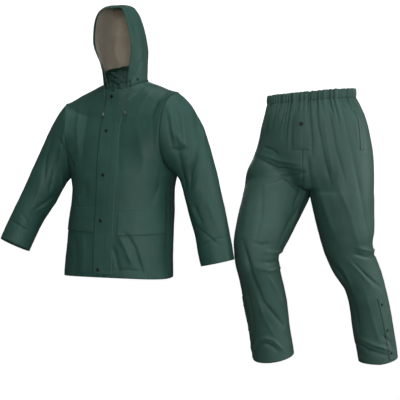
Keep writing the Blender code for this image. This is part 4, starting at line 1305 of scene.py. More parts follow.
@dataclass
class Stitches:
    """Rows of lockstitch along seams, laid by a node tree on drawn lines."""

    name: str
    thread: bpy.types.Material
    pitch: float = 3.4
    length: float = 2.5
    radius: float = 0.22
    lines: list[np.ndarray] = field(default_factory=list)

    def draw(self, line: np.ndarray) -> None:
        """Add one line of stitches, places in millimetres."""
        self.lines.append(line)

    def tree(self) -> bpy.types.NodeTree:
        """The node tree: resample each line and set one stitch at each step.

        Returns:
            The tree.
        """
        tree = bpy.data.node_groups.new(self.name, "GeometryNodeTree")
        face = tree.interface
        face.new_socket("Geometry", in_out="INPUT", socket_type="NodeSocketGeometry")
        for label in ("Pitch", "Stitch Length", "Thread Radius"):
            face.new_socket(label, in_out="INPUT", socket_type="NodeSocketFloat")
        face.new_socket("Thread", in_out="INPUT", socket_type="NodeSocketMaterial")
        face.new_socket("Geometry", in_out="OUTPUT", socket_type="NodeSocketGeometry")
        start, stop, curve, steps, along, turn, stitch, place, solid, dress = (
            tree.nodes.new(kind) for kind in (
                "NodeGroupInput", "NodeGroupOutput", "GeometryNodeMeshToCurve",
                "GeometryNodeResampleCurve", "GeometryNodeInputTangent",
                "FunctionNodeAlignRotationToVector", "GeometryNodeMeshCylinder",
                "GeometryNodeInstanceOnPoints", "GeometryNodeRealizeInstances",
                "GeometryNodeSetMaterial"))
        steps.mode = "LENGTH"
        turn.axis = "Z"
        stitch.inputs["Vertices"].default_value = 6
        stitch.fill_type = "NGON"
        for source, result, target, into in (
                (start, "Geometry", curve, "Mesh"), (curve, "Curve", steps, "Curve"),
                (start, "Pitch", steps, "Length"), (along, "Tangent", turn, "Vector"),
                (start, "Thread Radius", stitch, "Radius"),
                (start, "Stitch Length", stitch, "Depth"), (steps, "Curve", place, "Points"),
                (stitch, "Mesh", place, "Instance"), (turn, "Rotation", place, "Rotation"),
                (place, "Instances", solid, "Geometry"), (solid, "Geometry", dress, "Geometry"),
                (start, "Thread", dress, "Material"), (dress, "Geometry", stop, "Geometry")):
            tree.links.new(source.outputs[result], target.inputs[into])
        return tree

    def make(self) -> bpy.types.Object:
        """Run the tree over every line and keep the result as a plain mesh.

        Returns:
            The stitches, linked to the scene.
        """
        places = np.concatenate(self.lines) * MM
        edges, base = [], 0
        for line in self.lines:
            edges += [(base + k, base + k + 1) for k in range(len(line) - 1)]
            base += len(line)
        guide_mesh = bpy.data.meshes.new(self.name + "_guide")
        guide_mesh.from_pydata(places.tolist(), edges, [])
        guide = bpy.data.objects.new(self.name + "_guide", guide_mesh)
        bpy.context.scene.collection.objects.link(guide)
        tree = self.tree()
        modifier = guide.modifiers.new("stitching", "NODES")
        modifier.node_group = tree
        values = {"Pitch": self.pitch * MM, "Stitch Length": self.length * MM,
                  "Thread Radius": self.radius * MM, "Thread": self.thread}
        for item in tree.interface.items_tree:
            if item.in_out == "INPUT" and item.name in values:
                modifier[item.identifier] = values[item.name]
        ready = guide.evaluated_get(bpy.context.evaluated_depsgraph_get())
        mesh = bpy.data.meshes.new_from_object(ready)
        mesh.name = self.name
        guide.modifiers.clear()
        bpy.data.objects.remove(guide)
        piece = bpy.data.objects.new(self.name, mesh)
        bpy.context.scene.collection.objects.link(piece)
        return piece


# Jacket


class Body(NamedTuple):
    """One level of the jacket's body, in the jacket's own axes."""

    at: float
    mid: float
    side_x: float
    side_y: float
    side_z: float
    front_y: float
    front_z: float
    back_y: float
    back_z: float
    lean: float
    power: float


class Arch(NamedTuple):
    """One arch of the hood from the neck to the crown seam, front to nape."""

    at: float
    seam_y: float
    seam_z: float
    bulge: float
    bow: float
    power: float


class Flap(NamedTuple):
    """One level of the storm flap: height and both edges, hem to neck."""

    at: float
    z: float
    left: float
    right: float


@dataclass
class Jacket:
    """The hooded jacket."""

    turn: float = math.radians(-20.0)
    rows: tuple[int, int, int] = (100, 64, 34)
    columns: int = 60
    neck_open: float = 28.0
    hood_columns: int = 64
    hood_shift: float = -13.0
    collar_crumple: float = 4.6
    sleeve_steps: int = 36
    sleeve_rows: int = 88
    body: tuple[Body, ...] = (
        Body(0.0, -21, 209, -26, -718, -166, -709, 116, -716, 0.00, 0.86),
        Body(0.31, -19, 203, -15, -604, -160, -602, 130, -604, 0.00, 0.86),
        Body(0.64, -15, 199, 0, -482, -150, -480, 150, -482, 0.00, 0.88),
        Body(0.87, -11, 195, 4, -392, -147, -394, 160, -392, 0.02, 0.88),
        Body(1.0, -9, 206, 5, -332, -143, -337, 161, -332, 0.03, 0.88),
        Body(1.5, -10, 212, -4, -200, -116, -222, 152, -190, 0.06, 0.88),
        Body(2.0, -10, 220, -14, -54, -95, -128, 124, -62, 0.09, 0.92),
        Body(2.2, -8, 192, -11, -44, -91, -107, 117, -42, 0.085, 0.93),
        Body(2.5, -4, 148, -6, -24, -84, -76, 106, -14, 0.07, 0.96),
        Body(3.0, 0, 82, 0, 2, -83, -25, 84, 20, 0.05, 1.0),
    )
    armhole: dict[str, tuple[float, float]] = field(
        default_factory=lambda: {"front": (104.0, 26.0), "back": (96.0, 12.0)})
    cap_slope: dict[int, float] = field(default_factory=lambda: {1: -0.45, -1: -0.62})
    sleeves: dict[int, tuple[Ring, ...]] = field(default_factory=lambda: {
        1: (
            Ring(0.0, 273, -92, -348, 139, 146),
            Ring(0.2, 289, -96, -414, 134, 140),
            Ring(0.42, 305, -98, -480, 134, 134),
            Ring(0.63, 321, -100, -546, 128, 128),
            Ring(0.85, 333, -106, -612, 130, 124),
            Ring(1.0, 343, -110, -659, 127, 120),
        ),
        -1: (
            Ring(0.0, -297, 58, -354, 136, 150),
            Ring(0.25, -331, 54, -422, 127, 140),
            Ring(0.5, -369, 44, -491, 116, 130),
            Ring(0.77, -401, 30, -559, 117, 122),
            Ring(1.0, -421, 18, -605, 119, 116),
        ),
    })
    arches: tuple[Arch, ...] = (
        Arch(0.0, -84, 274, 84, -26, 0.46),
        Arch(0.2, -42, 286, 89, -14, 0.48),
        Arch(0.4, 20, 284, 88, -4, 0.48),
        Arch(0.6, 70, 252, 83, 2, 0.52),
        Arch(0.78, 88, 180, 74, 2, 0.62),
        Arch(0.9, 92, 96, 48, 2, 0.80),
        Arch(1.0, 84, 20, 0, 0, 1.0),
    )
    storm: tuple[Flap, ...] = (
        Flap(0.0, -700, -115, -43),
        Flap(0.15, -598, -112.6, -41.4),
        Flap(0.28, -509, -108.4, -37.2),
        Flap(0.46, -390, -101, -30),
        Flap(0.62, -281, -98, -22),
        Flap(0.8, -165, -88, -15),
        Flap(0.9, -99, -76, -3),
        Flap(1.0, -36, -65, 10),
    )
    snaps: tuple[tuple[float, float], ...] = (
        (-47, -50), (-66, -176), (-76, -336), (-85, -502), (-95, -681))
    hood_snap: tuple[float, float] = (50, 12)
    collar_snap: tuple[float, float] = (-32, 40)
    sheets: dict[str, Sheet] = field(default_factory=dict)

    def body_side(self, level: np.ndarray, face: str, side: int) -> np.ndarray:
        """The edge of a body panel: side seam, armhole, then shoulder seam.

        Args:
            level: Body levels, 0 at the hem and 3 at the neck.
            face: Its face, front or back.
            side: The wearer's side, 1 for left and -1 for right.

        Returns:
            Places in the jacket's own axes.
        """
        yoke = level > 2.0
        x, y, z = (np.where(yoke, smooth(self.body[6:], "side_" + c, np.maximum(level, 2.0)),
                            smooth(self.body, "side_" + c, level)) for c in "xyz")
        low, high = self.body[4], self.body[6]
        run = np.clip(level - 1.0, 0.0, 1.0)
        lift = (1 - np.cos(math.pi * run)) / 2
        round_ = np.sin(math.pi * run)
        depth, inset = self.armhole[face]
        forward = -1 if face == "front" else 1
        hole = (level > 1.0) & (level < 2.0)
        x = np.where(hole, mix(low.side_x, high.side_x, lift) - inset * round_, x)
        y = np.where(hole, mix(low.side_y, high.side_y, lift) + forward * depth * round_, y)
        z = np.where(hole, mix(low.side_z, high.side_z, lift), z)
        return np.stack([side * x, y, z], -1)

    def body_point(self, turn: np.ndarray, level: np.ndarray, face: str, side: int
                   ) -> np.ndarray:
        """Places on the body: turn 0 at the middle of a face, 1 at its side.

        Args:
            turn: How far round.
            level: Body levels, 0 at the hem and 3 at the neck.
            face: Its face, front or back.
            side: The wearer's side, 1 for left and -1 for right.

        Returns:
            Places in the shared axes.
        """
        turn, level = np.broadcast_arrays(np.asarray(turn, float), np.asarray(level, float))
        edge = self.body_side(level, face, side)
        power = smooth(self.body, "power", level)
        out = np.sin(turn * math.pi / 2) ** power
        mid = np.maximum(0.0, np.cos(turn * math.pi / 2)) ** power
        x = edge[..., 0] * out
        y = mix(edge[..., 1], smooth(self.body, face + "_y", level), mid)
        z = mix(edge[..., 2], smooth(self.body, face + "_z", level), mid * mid)
        z = z + smooth(self.body, "lean", level) * x
        x = x + smooth(self.body, "mid", level)
        return turned(x, y, z, self.turn)

    def levels(self) -> np.ndarray:
        """Body levels from the hem to the neck.

        Returns:
            The levels, rising.
        """
        low, hole, yoke = self.rows
        return np.concatenate([np.arange(low + 1) / low, 1 + np.arange(1, hole + 1) / hole,
                               2 + np.arange(1, yoke + 1) / yoke])

    def sleeve(self, side: int) -> np.ndarray:
        """Rings of a sleeve from the armhole to the cuff.

        Args:
            side: The wearer's side, 1 for left and -1 for right.

        Returns:
            Rings by places round them.
        """
        count = 2 * self.rows[1]
        spin = np.arange(count) / count
        front = spin <= 0.5
        level = 1.0 + np.where(front, spin * 2, 2 - spin * 2)
        hole = np.where(front[:, None], self.body_point(1.0, level, "front", side),
                        self.body_point(1.0, level, "back", side))
        tube = Tube(self.sleeves[side], side, self.turn)
        end = tube.point(0.0, spin)
        reach = np.linalg.norm(end - hole, axis=1)[:, None]
        top = (1 - np.cos(spin * 2 * math.pi)) / 2
        leave = turned(side * mix(0.35, 0.9, top), 0.1,
                       mix(-0.9, self.cap_slope[side], top), self.turn)
        away = hole.copy()
        away[:, 2] = 0.0
        leave = unit(leave + unit(away) * (0.7 * (1 - top))[:, None])
        below = unit(tube.centre(np.array(0.02)) - tube.centre(np.array(0.0)))
        a, b = hole + leave * reach * 0.27, end - below * reach * 0.35
        rows = []
        for t in np.arange(self.sleeve_steps + 1) / self.sleeve_steps:
            rows.append(hole * (1 - t) ** 3 + a * (3 * t * (1 - t) ** 2)
                        + b * (3 * t * t * (1 - t)) + end * t ** 3)
        ats = np.arange(1, self.sleeve_rows + 1) / self.sleeve_rows
        return np.concatenate([np.array(rows), tube.point(ats[:, None], spin[None, :])])

    def neck_point(self, degrees: np.ndarray, side: int) -> np.ndarray:
        """The neck seam at an angle from the middle front.

        Args:
            degrees: The angles.
            side: The wearer's side, 1 for left and -1 for right.

        Returns:
            Places in the shared axes.
        """
        front = self.body_point(np.minimum(degrees, 90) / 90, 3.0, "front", side)
        back = self.body_point((180 - np.maximum(degrees, 90)) / 90, 3.0, "back", side)
        return np.where((degrees <= 90)[..., None], front, back)

    def hood(self, side: int) -> np.ndarray:
        """Arches of one hood half from the face edge to the nape.

        Args:
            side: The wearer's side, 1 for left and -1 for right.

        Returns:
            Arches by steps up them.
        """
        step = 90 / self.columns
        more = step * np.arange(1, 2 * self.columns + 1)
        feet = np.concatenate([[self.neck_open], more[more > self.neck_open + 0.5]])
        f = ((feet - self.neck_open) / (180 - self.neck_open))[:, None]
        foot = self.neck_point(feet, side)
        c, s = math.cos(-self.turn), math.sin(-self.turn)
        foot_x = (foot[:, 0] * c - foot[:, 1] * s)[:, None]
        foot_y = (foot[:, 0] * s + foot[:, 1] * c)[:, None]
        share = (np.arange(self.hood_columns + 1) / self.hood_columns)[None, :]
        a = share * math.pi / 2
        wide = mix(np.abs(foot_x), smooth(self.arches, "bulge", f), ease(share / 0.4))
        x = side * wide * np.maximum(0.0, np.cos(a)) ** smooth(self.arches, "power", f)
        rise = np.sin(a)
        y = mix(foot_y, smooth(self.arches, "seam_y", f), rise * rise)
        y = y + smooth(self.arches, "bow", f) * np.sin(2 * a)
        z = mix(foot[:, 2][:, None], smooth(self.arches, "seam_z", f), rise)
        x = np.where(share >= 1.0, 0.0, x)
        x = x + self.hood_shift * ease(share / 0.7) * ease((1 - f) / 0.3)
        return turned(x, y, z, self.turn)

    def collar(self) -> Sheet:
        """The stand collar inside the hood.

        Returns:
            The sheet.
        """
        rise = np.linspace(-4.0, 66.0, 30)[:, None]
        a = np.linspace(0, 2 * math.pi, 160, endpoint=False)[None, :]
        x, y = 79.2 * np.sin(a), -81.2 * np.cos(a) + 1
        tuck = 1 - 0.12 * np.maximum(0.0, rise) / 66
        half = (1 - np.cos(a)) / 2
        z = mix(-25, 22, half) + rise * (1.0 - 0.2 * half) - 2 * (np.cos(a) < 0)
        grid = turned(x * tuck, y * tuck, z - 2 + 0.06 * x, self.turn)
        return Sheet("collar_cloth", Garment.JACKET, grid, wrap=True)

    def cut(self) -> None:
        """Lay out every welded sheet and press its folds in."""
        levels = self.levels()[:, None]
        turn = (np.arange(self.columns + 1) / self.columns)[None, :]
        half = {(face, side): self.body_point(turn, levels, face, side)
                for face in ("front", "back") for side in (1, -1)}
        sheets = [
            Sheet("jacket_front_left_cloth", Garment.JACKET, half["front", 1]),
            Sheet("jacket_front_right_cloth", Garment.JACKET, half["front", -1][:, ::-1]),
            Sheet("jacket_back_cloth", Garment.JACKET,
                  np.concatenate([half["back", 1][:, ::-1], half["back", -1][:, 1:]], 1)),
        ]
        for side in Side:
            sheets.append(Sheet(f"sleeve_{side.word}_cloth", Garment.JACKET,
                                self.sleeve(side.value), side is Side.LEFT, True))
        for side in Side:
            sheets.append(Sheet(f"hood_{side.word}_cloth", Garment.JACKET,
                                self.hood(side.value), side is Side.LEFT))
        press_folds(sheets)
        collar = self.collar()
        press_folds([collar], 0.0)
        flat = collar.grid.reshape(-1, 3)
        ridges = 1 - np.abs(Stir(2.4, 23.0, 4.4, 0.7).over(flat))
        crumple = (ridges + Stir(0.5, 9.0, 2.2).over(flat)).reshape(collar.shape)
        collar.grid = collar.grid + collar.normals * (crumple * self.collar_crumple)[..., None]
        weld_normals([collar])
        self.sheets = {s.name: s for s in sheets + [collar]}


@dataclass
class JacketTrim:
    """What lies on the jacket: flaps, snaps, eyelets, cords and their stoppers."""

    jacket: Jacket
    maker: Maker
    fronts: Skin
    hood: Skin
    cord_radius: float = 1.5
    stopper_up: float = 12.5
    eyelets: dict[str, tuple[float, float]] = field(
        default_factory=lambda: {"left": (22.0, 6.0), "right": (-70.0, -4.0)})
    cords: dict[str, tuple[tuple[float, float, float], ...]] = field(default_factory=lambda: {
        "left": (
            (24.0, -86.1, 5.3), (25.6, -84.6, 0.7), (27.5, -82.6, -6.0), (27.8, -82.2, -13.7),
            (24.8, -84.8, -22.2), (20.1, -88.9, -31.7), (15.7, -92.3, -40.8),
            (12.1, -93.9, -49.0), (8.8, -94.9, -56.9), (6.3, -96.2, -64.8),
            (5.2, -98.2, -73.0), (4.8, -100.6, -81.3), (4.6, -103.0, -89.6),
            (4.3, -105.7, -99.1), (4.1, -108.5, -108.7), (4.0, -110.4, -115.5)),
        "right": (
            (-73.8, -51.7, -4.6), (-74.1, -50.4, -7.1), (-74.7, -48.6, -10.6),
            (-75.2, -47.4, -15.2), (-75.4, -48.1, -20.9), (-75.2, -51.1, -27.9),
            (-74.8, -55.3, -36.0), (-74.4, -59.5, -44.5), (-74.4, -62.4, -53.0),
            (-74.6, -64.5, -61.6), (-74.9, -66.2, -70.5), (-75.3, -68.3, -79.9),
            (-75.8, -71.3, -90.4), (-76.5, -75.0, -102.6), (-77.3, -78.5, -113.9),
            (-77.8, -81.0, -121.7)),
    })

    def storm_flap(self) -> Sheet:
        """The flap over the front opening, sewn on its left and snapped on its right.

        Returns:
            The sheet.
        """
        rows, columns = 170, 18
        jacket, pairs = self.jacket, []
        lift = np.zeros((rows + 1, columns + 1))
        snap_heights = np.array([z for _, z in jacket.snaps])
        for k in range(rows + 1):
            share = k / rows
            z = float(smooth(jacket.storm, "z", share))
            left = float(smooth(jacket.storm, "left", share))
            right = float(smooth(jacket.storm, "right", share))
            pairs.append([self.fronts.at(mix(left, right, c / columns), z)
                          for c in range(columns + 1)])
            free = np.abs(snap_heights - z).min()
            wave = 1.4 * ease(free / 60.0) * (0.6 + 0.4 * math.sin(z / 31.0))
            across = np.arange(columns + 1) / columns
            lift[k] = 2.0 + wave * (1 - across) ** 2 - 1.55 * ease((across - 0.55) / 0.45)
        return laid_sheet("storm_flap_cloth", Garment.JACKET, pairs, lift)

    def pocket_flap(self, side: Side) -> Sheet:
        """A pocket flap: sewn down along its top, its lower edge standing off a little.

        Args:
            side: The wearer's side.

        Returns:
            The sheet.
        """
        rows, columns = 26, 90
        left = side is Side.LEFT
        k = (np.arange(rows + 1) / rows)[:, None]
        turn = mix(0.125, 0.84 if left else 0.8, (np.arange(columns + 1) / columns)[None, :])
        low = mix(0.43, 0.465, turn) if left else mix(0.46, 0.47, turn)
        level = mix(low, mix(0.71, 0.69, turn), k)
        targets = self.jacket.body_point(turn, level, "front", side.value)
        pairs = [[self.fronts.near(t) for t in row] for row in targets]
        flare = (1.6 if left else 0.8) * (1 - k) ** 2
        ripple = 0.5 * np.sin(turn * 17.0 + side.value) * (1 - k)
        lift = 1.6 + flare + ripple - 1.0 * ease((k - 0.6) / 0.4)
        return laid_sheet(f"pocket_flap_{side.word}_cloth", Garment.JACKET, pairs,
                          np.broadcast_to(lift, (rows + 1, columns + 1)), not left)

    def cord(self, word: str) -> None:
        """One free end of the hood cord, as a braided tube along its route.

        Args:
            word: The side, left or right.
        """
        route = np.array(self.cords[word])
        t = np.linspace(0, len(route) - 1, 90)
        path = np.stack([np.interp(t, np.arange(len(route)), route[:, c]) for c in range(3)], 1)
        for _ in range(6):
            path[1:-1] = (path[:-2] + path[1:-1] * 2 + path[2:]) / 4
        run = np.concatenate([[0], np.cumsum(np.linalg.norm(np.diff(path, axis=0), axis=1))])
        ahead = unit(np.gradient(path, axis=0))
        side = unit(np.cross(ahead, np.array([0.0, 1.0, 0.0])))
        other = np.cross(ahead, side)
        sides = 14
        a = np.linspace(0, 2 * math.pi, sides + 1)
        ring = side[:, None] * np.cos(a)[None, :, None] + other[:, None] * np.sin(a)[None, :, None]
        grid = path[:, None] + ring * self.cord_radius
        count = sides + 1
        faces = [(i * count + j, i * count + j + 1, (i + 1) * count + j + 1, (i + 1) * count + j)
                 for i in range(len(path) - 1) for j in range(sides)]
        faces.append(tuple(range(sides))[::-1])
        faces.append(tuple((len(path) - 1) * count + j for j in range(sides)))
        flats = np.stack(np.broadcast_arrays(a[None, :] * self.cord_radius, run[:, None]), -1)
        piece = self.maker.add("drawcord_" + word + "_braid", grid.reshape(-1, 3), faces,
                               [self.maker.palette.braid], None, flats.reshape(-1, 2) * MM)
        self.maker.merged(piece)
        eyelet = self.maker.lathe(
            "eyelet_" + word + "_ring", *self.eyelet_seat(word),
            [(2.5, 0.0), (5.0, 0.0), (5.1, 0.5), (4.7, 1.2), (3.9, 1.6), (3.1, 1.5), (2.6, 1.1)],
            self.maker.palette.metal)
        stopper = self.stopper(word, route)
        for made, slot, node in ((eyelet, "snap_metal", "eyelet_"),
                                 (stopper, "stopper_plastic", "stopper_")):
            ride(made, slot, node + word)
        ride(piece, "cord_fabric", "drawcord_" + word)
        LOG.info("drawcord %s: %.0f mm free", word, run[-1])

    def eyelet_seat(self, word: str) -> tuple[np.ndarray, np.ndarray]:
        """Where an eyelet sits and which way it faces."""
        place, normal = self.hood.at(*self.eyelets[word])
        return place + normal * 0.6, normal

    def stopper(self, word: str, route: np.ndarray) -> bpy.types.Object:
        """The bell-shaped stopper at a cord's end, with its rim and neck.

        Args:
            word: The side, left or right.
            route: The cord's places, in millimetres.

        Returns:
            The stopper.
        """
        down = unit(route[-1] - route[-4])
        profile = [(1.9, 0.0), (3.1, 0.0), (3.5, 0.5), (3.7, 1.5), (4.3, 3.2), (5.3, 5.8),
                   (6.0, 8.6), (6.3, 10.6), (6.3, 11.6), (5.9, 12.3), (5.9, 13.0), (5.5, 13.7),
                   (4.8, 14.0), (1.9, 14.0)]
        return self.maker.lathe("stopper_" + word + "_bell", route[-1] - down * self.stopper_up,
                                down, profile, self.maker.palette.plastic, 36)


FLAP_SNAP, SMALL_SNAP, FLY_BUTTON = 6.0, 5.0, 7.0
SNAP_PROFILE = ((0.0, 0.0), (0.94, 0.0), (1.0, 0.25), (0.99, 0.7), (0.93, 1.25), (0.84, 1.65),
                (0.72, 1.85), (0.64, 1.8), (0.56, 1.45), (0.42, 1.3), (0.2, 1.42), (0.0, 1.46))


def ride(piece: bpy.types.Object, slot: str, *nodes: str) -> None:
    """Let a piece ride on the set and stand for its nodes.

    Args:
        piece: The piece.
        slot: Its material slot; not used.
        *nodes: The nodes it stands for.
    """
    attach(piece, "root")
    if nodes:
        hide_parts(*nodes)
    LOG.info("%s stands for %s", piece.name, ", ".join(nodes) or "no node")


def snap(maker: Maker, node: str, place: np.ndarray, normal: np.ndarray, radius: float,
         stand: float) -> None:
    """A press snap's cap: rolled rim and dished middle.

    Args:
        maker: The maker.
        node: The node it stands for.
        place: Where it sits.
        normal: Which way it faces.
        radius: Its radius, in millimetres.
        stand: How far off the cloth its foot is.
    """
    profile = [(r * radius, h * 1.3) for r, h in SNAP_PROFILE]
    piece = maker.lathe(node + "_cap", place + normal * stand, normal, profile,
                        maker.palette.metal, 32)
    ride(piece, "snap_metal", node)


def declare(sheet: Sheet, piece: bpy.types.Object
            ) -> None:
    """Let a cloth piece ride, and declare what it was cut to.

    Args:
        sheet: The sheet.
        piece: The piece made of it.
    """
    ride(piece, "rain_cloth", sheet.name.removesuffix("_cloth"))
    cut = sheet.measured()
    LOG.info("%s cut %.3f x %.3f m, %.4f m2", sheet.name, cut.width, cut.length, cut.area)


# Trousers


class Hip(NamedTuple):
    """One level of the trousers above the crotch, in the trousers' own axes."""

    at: float
    half_left: float
    half_right: float
    front: float
    back: float
    z: float
    tilt: float
    power: float


@dataclass
class Trousers:
    """The trousers with the gathered waist."""

    turn: float = math.radians(-19.0)
    shift: float = 692.0
    half_waist: int = 96
    leg_levels: tuple[float, ...] = (
        0.0, 0.07, 0.15, 0.24, 0.33, 0.42, 0.5, 0.57, 0.63, 0.7, 0.79, 0.89, 1.0)
    hip_levels: tuple[float, ...] = (1.06, 1.15, 1.27, 1.42, 1.57, 1.72, 1.86, 2.0)
    spacing: float = 4.2
    band_rows: int = 12
    band_height: float = 34.0
    legs: dict[int, tuple[Ring, ...]] = field(default_factory=lambda: {
        1: (
            Ring(0.0, 966, 92, -1056, 150, 172),
            Ring(0.05, 961, 90, -1023, 151, 172),
            Ring(0.2, 942, 80, -929, 156, 176),
            Ring(0.35, 924, 62, -834, 148, 180),
            Ring(0.5, 895, 34, -740, 150, 186),
            Ring(0.61, 858, 8, -670, 168, 200),
            Ring(0.69, 836, -8, -618, 180, 214),
            Ring(0.82, 823, -22, -533, 212, 246),
            Ring(1.0, 805, -35, -410, 236, 284),
        ),
        -1: (
            Ring(0.0, 558, 40, -1032, 156, 172),
            Ring(0.19, 540, 26, -915, 154, 176),
            Ring(0.35, 524, 0, -818, 160, 182),
            Ring(0.5, 504, -34, -724, 152, 192),
            Ring(0.61, 491, -58, -656, 158, 204),
            Ring(0.69, 490, -60, -612, 176, 216),
            Ring(0.83, 518, -34, -526, 206, 244),
            Ring(1.0, 573, 44, -410, 253, 284),
        ),
    })
    hips: tuple[Hip, ...] = (
        Hip(1.0, 236, 253, -126, 146, -408, 0.00, 0.90),
        Hip(1.25, 236, 242, -130, 150, -330, 0.02, 0.90),
        Hip(1.5, 226, 205, -131, 150, -236, 0.04, 0.92),
        Hip(1.75, 203, 185, -126, 136, -140, 0.06, 0.94),
        Hip(2.0, 168, 167, -106, 110, -66, 0.08, 0.96),
    )
    pitch: dict[int, float] = field(default_factory=lambda: {1: -0.05, -1: 0.5})
    fly: tuple[float, float, float, float] = (616.0, 674.0, -245.0, -42.0)
    crotch_power: float = 2.6
    button: tuple[float, float] = (645, -150)
    ankle_snaps: tuple[float, ...] = (0.05, 0.2, 0.37)
    ankle_spin: float = 0.405
    strip_half: float = 0.027
    girth: float = 1080.0
    casing_wave: float = 2.2
    sheets: dict[str, Sheet] = field(default_factory=dict)

    def hip(self, level: np.ndarray, spin: np.ndarray, side: int) -> np.ndarray:
        """Places on half a hip: spin 0 at the middle front, 1 at the middle back.

        Args:
            level: Levels, 1 at the crotch and 2 at the band.
            spin: How far round, in half turns.
            side: The wearer's side, 1 for left and -1 for right.

        Returns:
            Places in the shared axes.
        """
        level, spin = np.broadcast_arrays(np.asarray(level, float), np.asarray(spin, float))
        beta = math.pi * spin
        outside = np.abs(np.sin(beta))
        rise = np.minimum(1.0, (level - 1.0) / mix(0.36, 0.9, outside))
        arch = (1 - (1 - rise) ** self.crotch_power) ** (1 / self.crotch_power)
        drop = mix(arch, ease(rise), outside)
        power = smooth(self.hips, "power", level)
        half = smooth(self.hips, "half_left" if side == 1 else "half_right", level)
        mid_y = np.where(spin <= 0.5, smooth(self.hips, "front", level),
                         smooth(self.hips, "back", level))
        x = half * np.abs(np.sin(beta)) ** power
        y = mid_y * np.abs(np.cos(beta)) ** power
        oval_x = half / 2 * (1 - np.cos(2 * beta))
        oval_y = mid_y * np.abs(np.sin(2 * beta))
        x, y = mix(oval_x, x, drop), mix(oval_y, y, drop)
        z = smooth(self.hips, "z", level) + smooth(self.hips, "tilt", level) * side * x
        z = z - self.pitch[side] * y * ease(x / 90) * ease((1.5 - level) / 0.5)
        x = np.where((spin <= 0) | (spin >= 1), 0.0, x)
        return turned(side * x, y, z, self.turn, self.shift)

    def leg(self, side: int) -> np.ndarray:
        """Rings of one leg from the ankle to the waist.

        Args:
            side: The wearer's side, 1 for left and -1 for right.

        Returns:
            Rings by places round them.
        """
        count = 2 * self.half_waist
        spin = (np.arange(count + 1) / count)[None, :]
        low, high = np.array(self.leg_levels)[:, None], np.array(self.hip_levels)[:, None]
        rings = Tube(self.legs[side], side, self.turn).point(low, spin)
        weight = ease((low - 0.8) / 0.2)[..., None]
        rings = mix(rings, self.hip(np.array(1.0), spin, side), weight)
        return through(np.concatenate([rings, self.hip(high, spin, side)]), self.spacing)

    def gathers(self) -> np.ndarray:
        """Where the waist's pleats are: share round the waist, width, depth and reach down.

        Returns:
            One pleat a row.
        """
        rng = np.random.default_rng(11)
        count = 66
        shares = (np.arange(count) + rng.uniform(-0.34, 0.34, count)) / count
        return np.stack([shares, rng.uniform(3.8, 6.6, count), rng.uniform(4.5, 10.5, count),
                         rng.uniform(26.0, 95.0, count)], 1)

    def gather(self, sheets: Sequence[Sheet], tops: Sequence[np.ndarray]) -> None:
        """Draw the cloth in along the pleats that the elastic makes.

        Args:
            sheets: Trouser and band sheets.
            tops: Each sheet's share round the waist, a column each, and how far each row is
                below the band, a row each, as a pair.
        """
        for sheet, (share, below) in zip(sheets, tops):
            push = np.zeros(sheet.shape)
            for at, width, deep, reach in self.gathers():
                off = (share - at + 0.5) % 1.0 - 0.5
                line = np.exp(-(off * self.girth / width) ** 2)[None, :]
                fade = np.exp(-(np.maximum(below, 0.0) / reach) ** 2)[:, None]
                push -= deep * line * fade
            push += 1.6 * np.exp(-(np.maximum(below, 0.0) / 60.0) ** 2)[:, None]
            sheet.grid = sheet.grid + sheet.normals * push[..., None]

    def cut(self) -> None:
        """Lay out every sheet, press its folds in and gather the waist."""
        half, sheets, tops = self.half_waist, [], []
        for side in Side:
            grid = self.leg(side.value)
            run = np.linalg.norm(np.diff(grid[:, half], axis=0), axis=1)
            below = np.concatenate([np.cumsum(run[::-1])[::-1], [0.0]])
            share = np.arange(2 * half + 1) / (4 * half)
            share = share if side is Side.LEFT else 1.0 - share
            for word, part in (("front", slice(0, half + 1)), ("back", slice(half, None))):
                sheets.append(Sheet(f"trouser_{word}_{side.word}_cloth", Garment.TROUSERS,
                                    grid[:, part], side is Side.RIGHT))
                tops.append((share[part], below))
        press_folds(sheets)
        top = {s.name.removeprefix("trouser_").removesuffix("_cloth"): s.grid[-1]
               for s in sheets}
        ring = np.concatenate([top["front_left"], top["back_left"][1:],
                               top["back_right"][::-1][1:], top["front_right"][::-1][1:-1]])
        share = np.arange(len(ring)) / len(ring)
        middle = ring.mean(0) * np.array([1, 1, 0])
        up = (np.arange(self.band_rows + 1) / self.band_rows)[:, None, None]
        swell = 1.0 + 0.012 * np.sin(math.pi * up) - 0.006 * up
        flat = (ring * np.array([1, 1, 0]) - middle)[None]
        rise = ring[None, :, 2:] + self.band_height * up
        grid = middle + flat * swell + np.array([0, 0, 1]) * rise
        band = Sheet("waist_casing_cloth", Garment.TROUSERS, grid, wrap=True)
        weld_normals(sheets + [band])
        sheets.append(band)
        tops.append((share, np.zeros(self.band_rows + 1)))
        self.gather(sheets, tops)
        waves = np.array([noise.noise(Vector((0.0, 0.7, 24.0 * math.sin(a))))
                          for a in share * 2 * math.pi + 0.3])
        band.grid[..., 2] += self.casing_wave * waves * up[..., 0]
        weld_normals(sheets)
        self.sheets = {s.name: s for s in sheets}


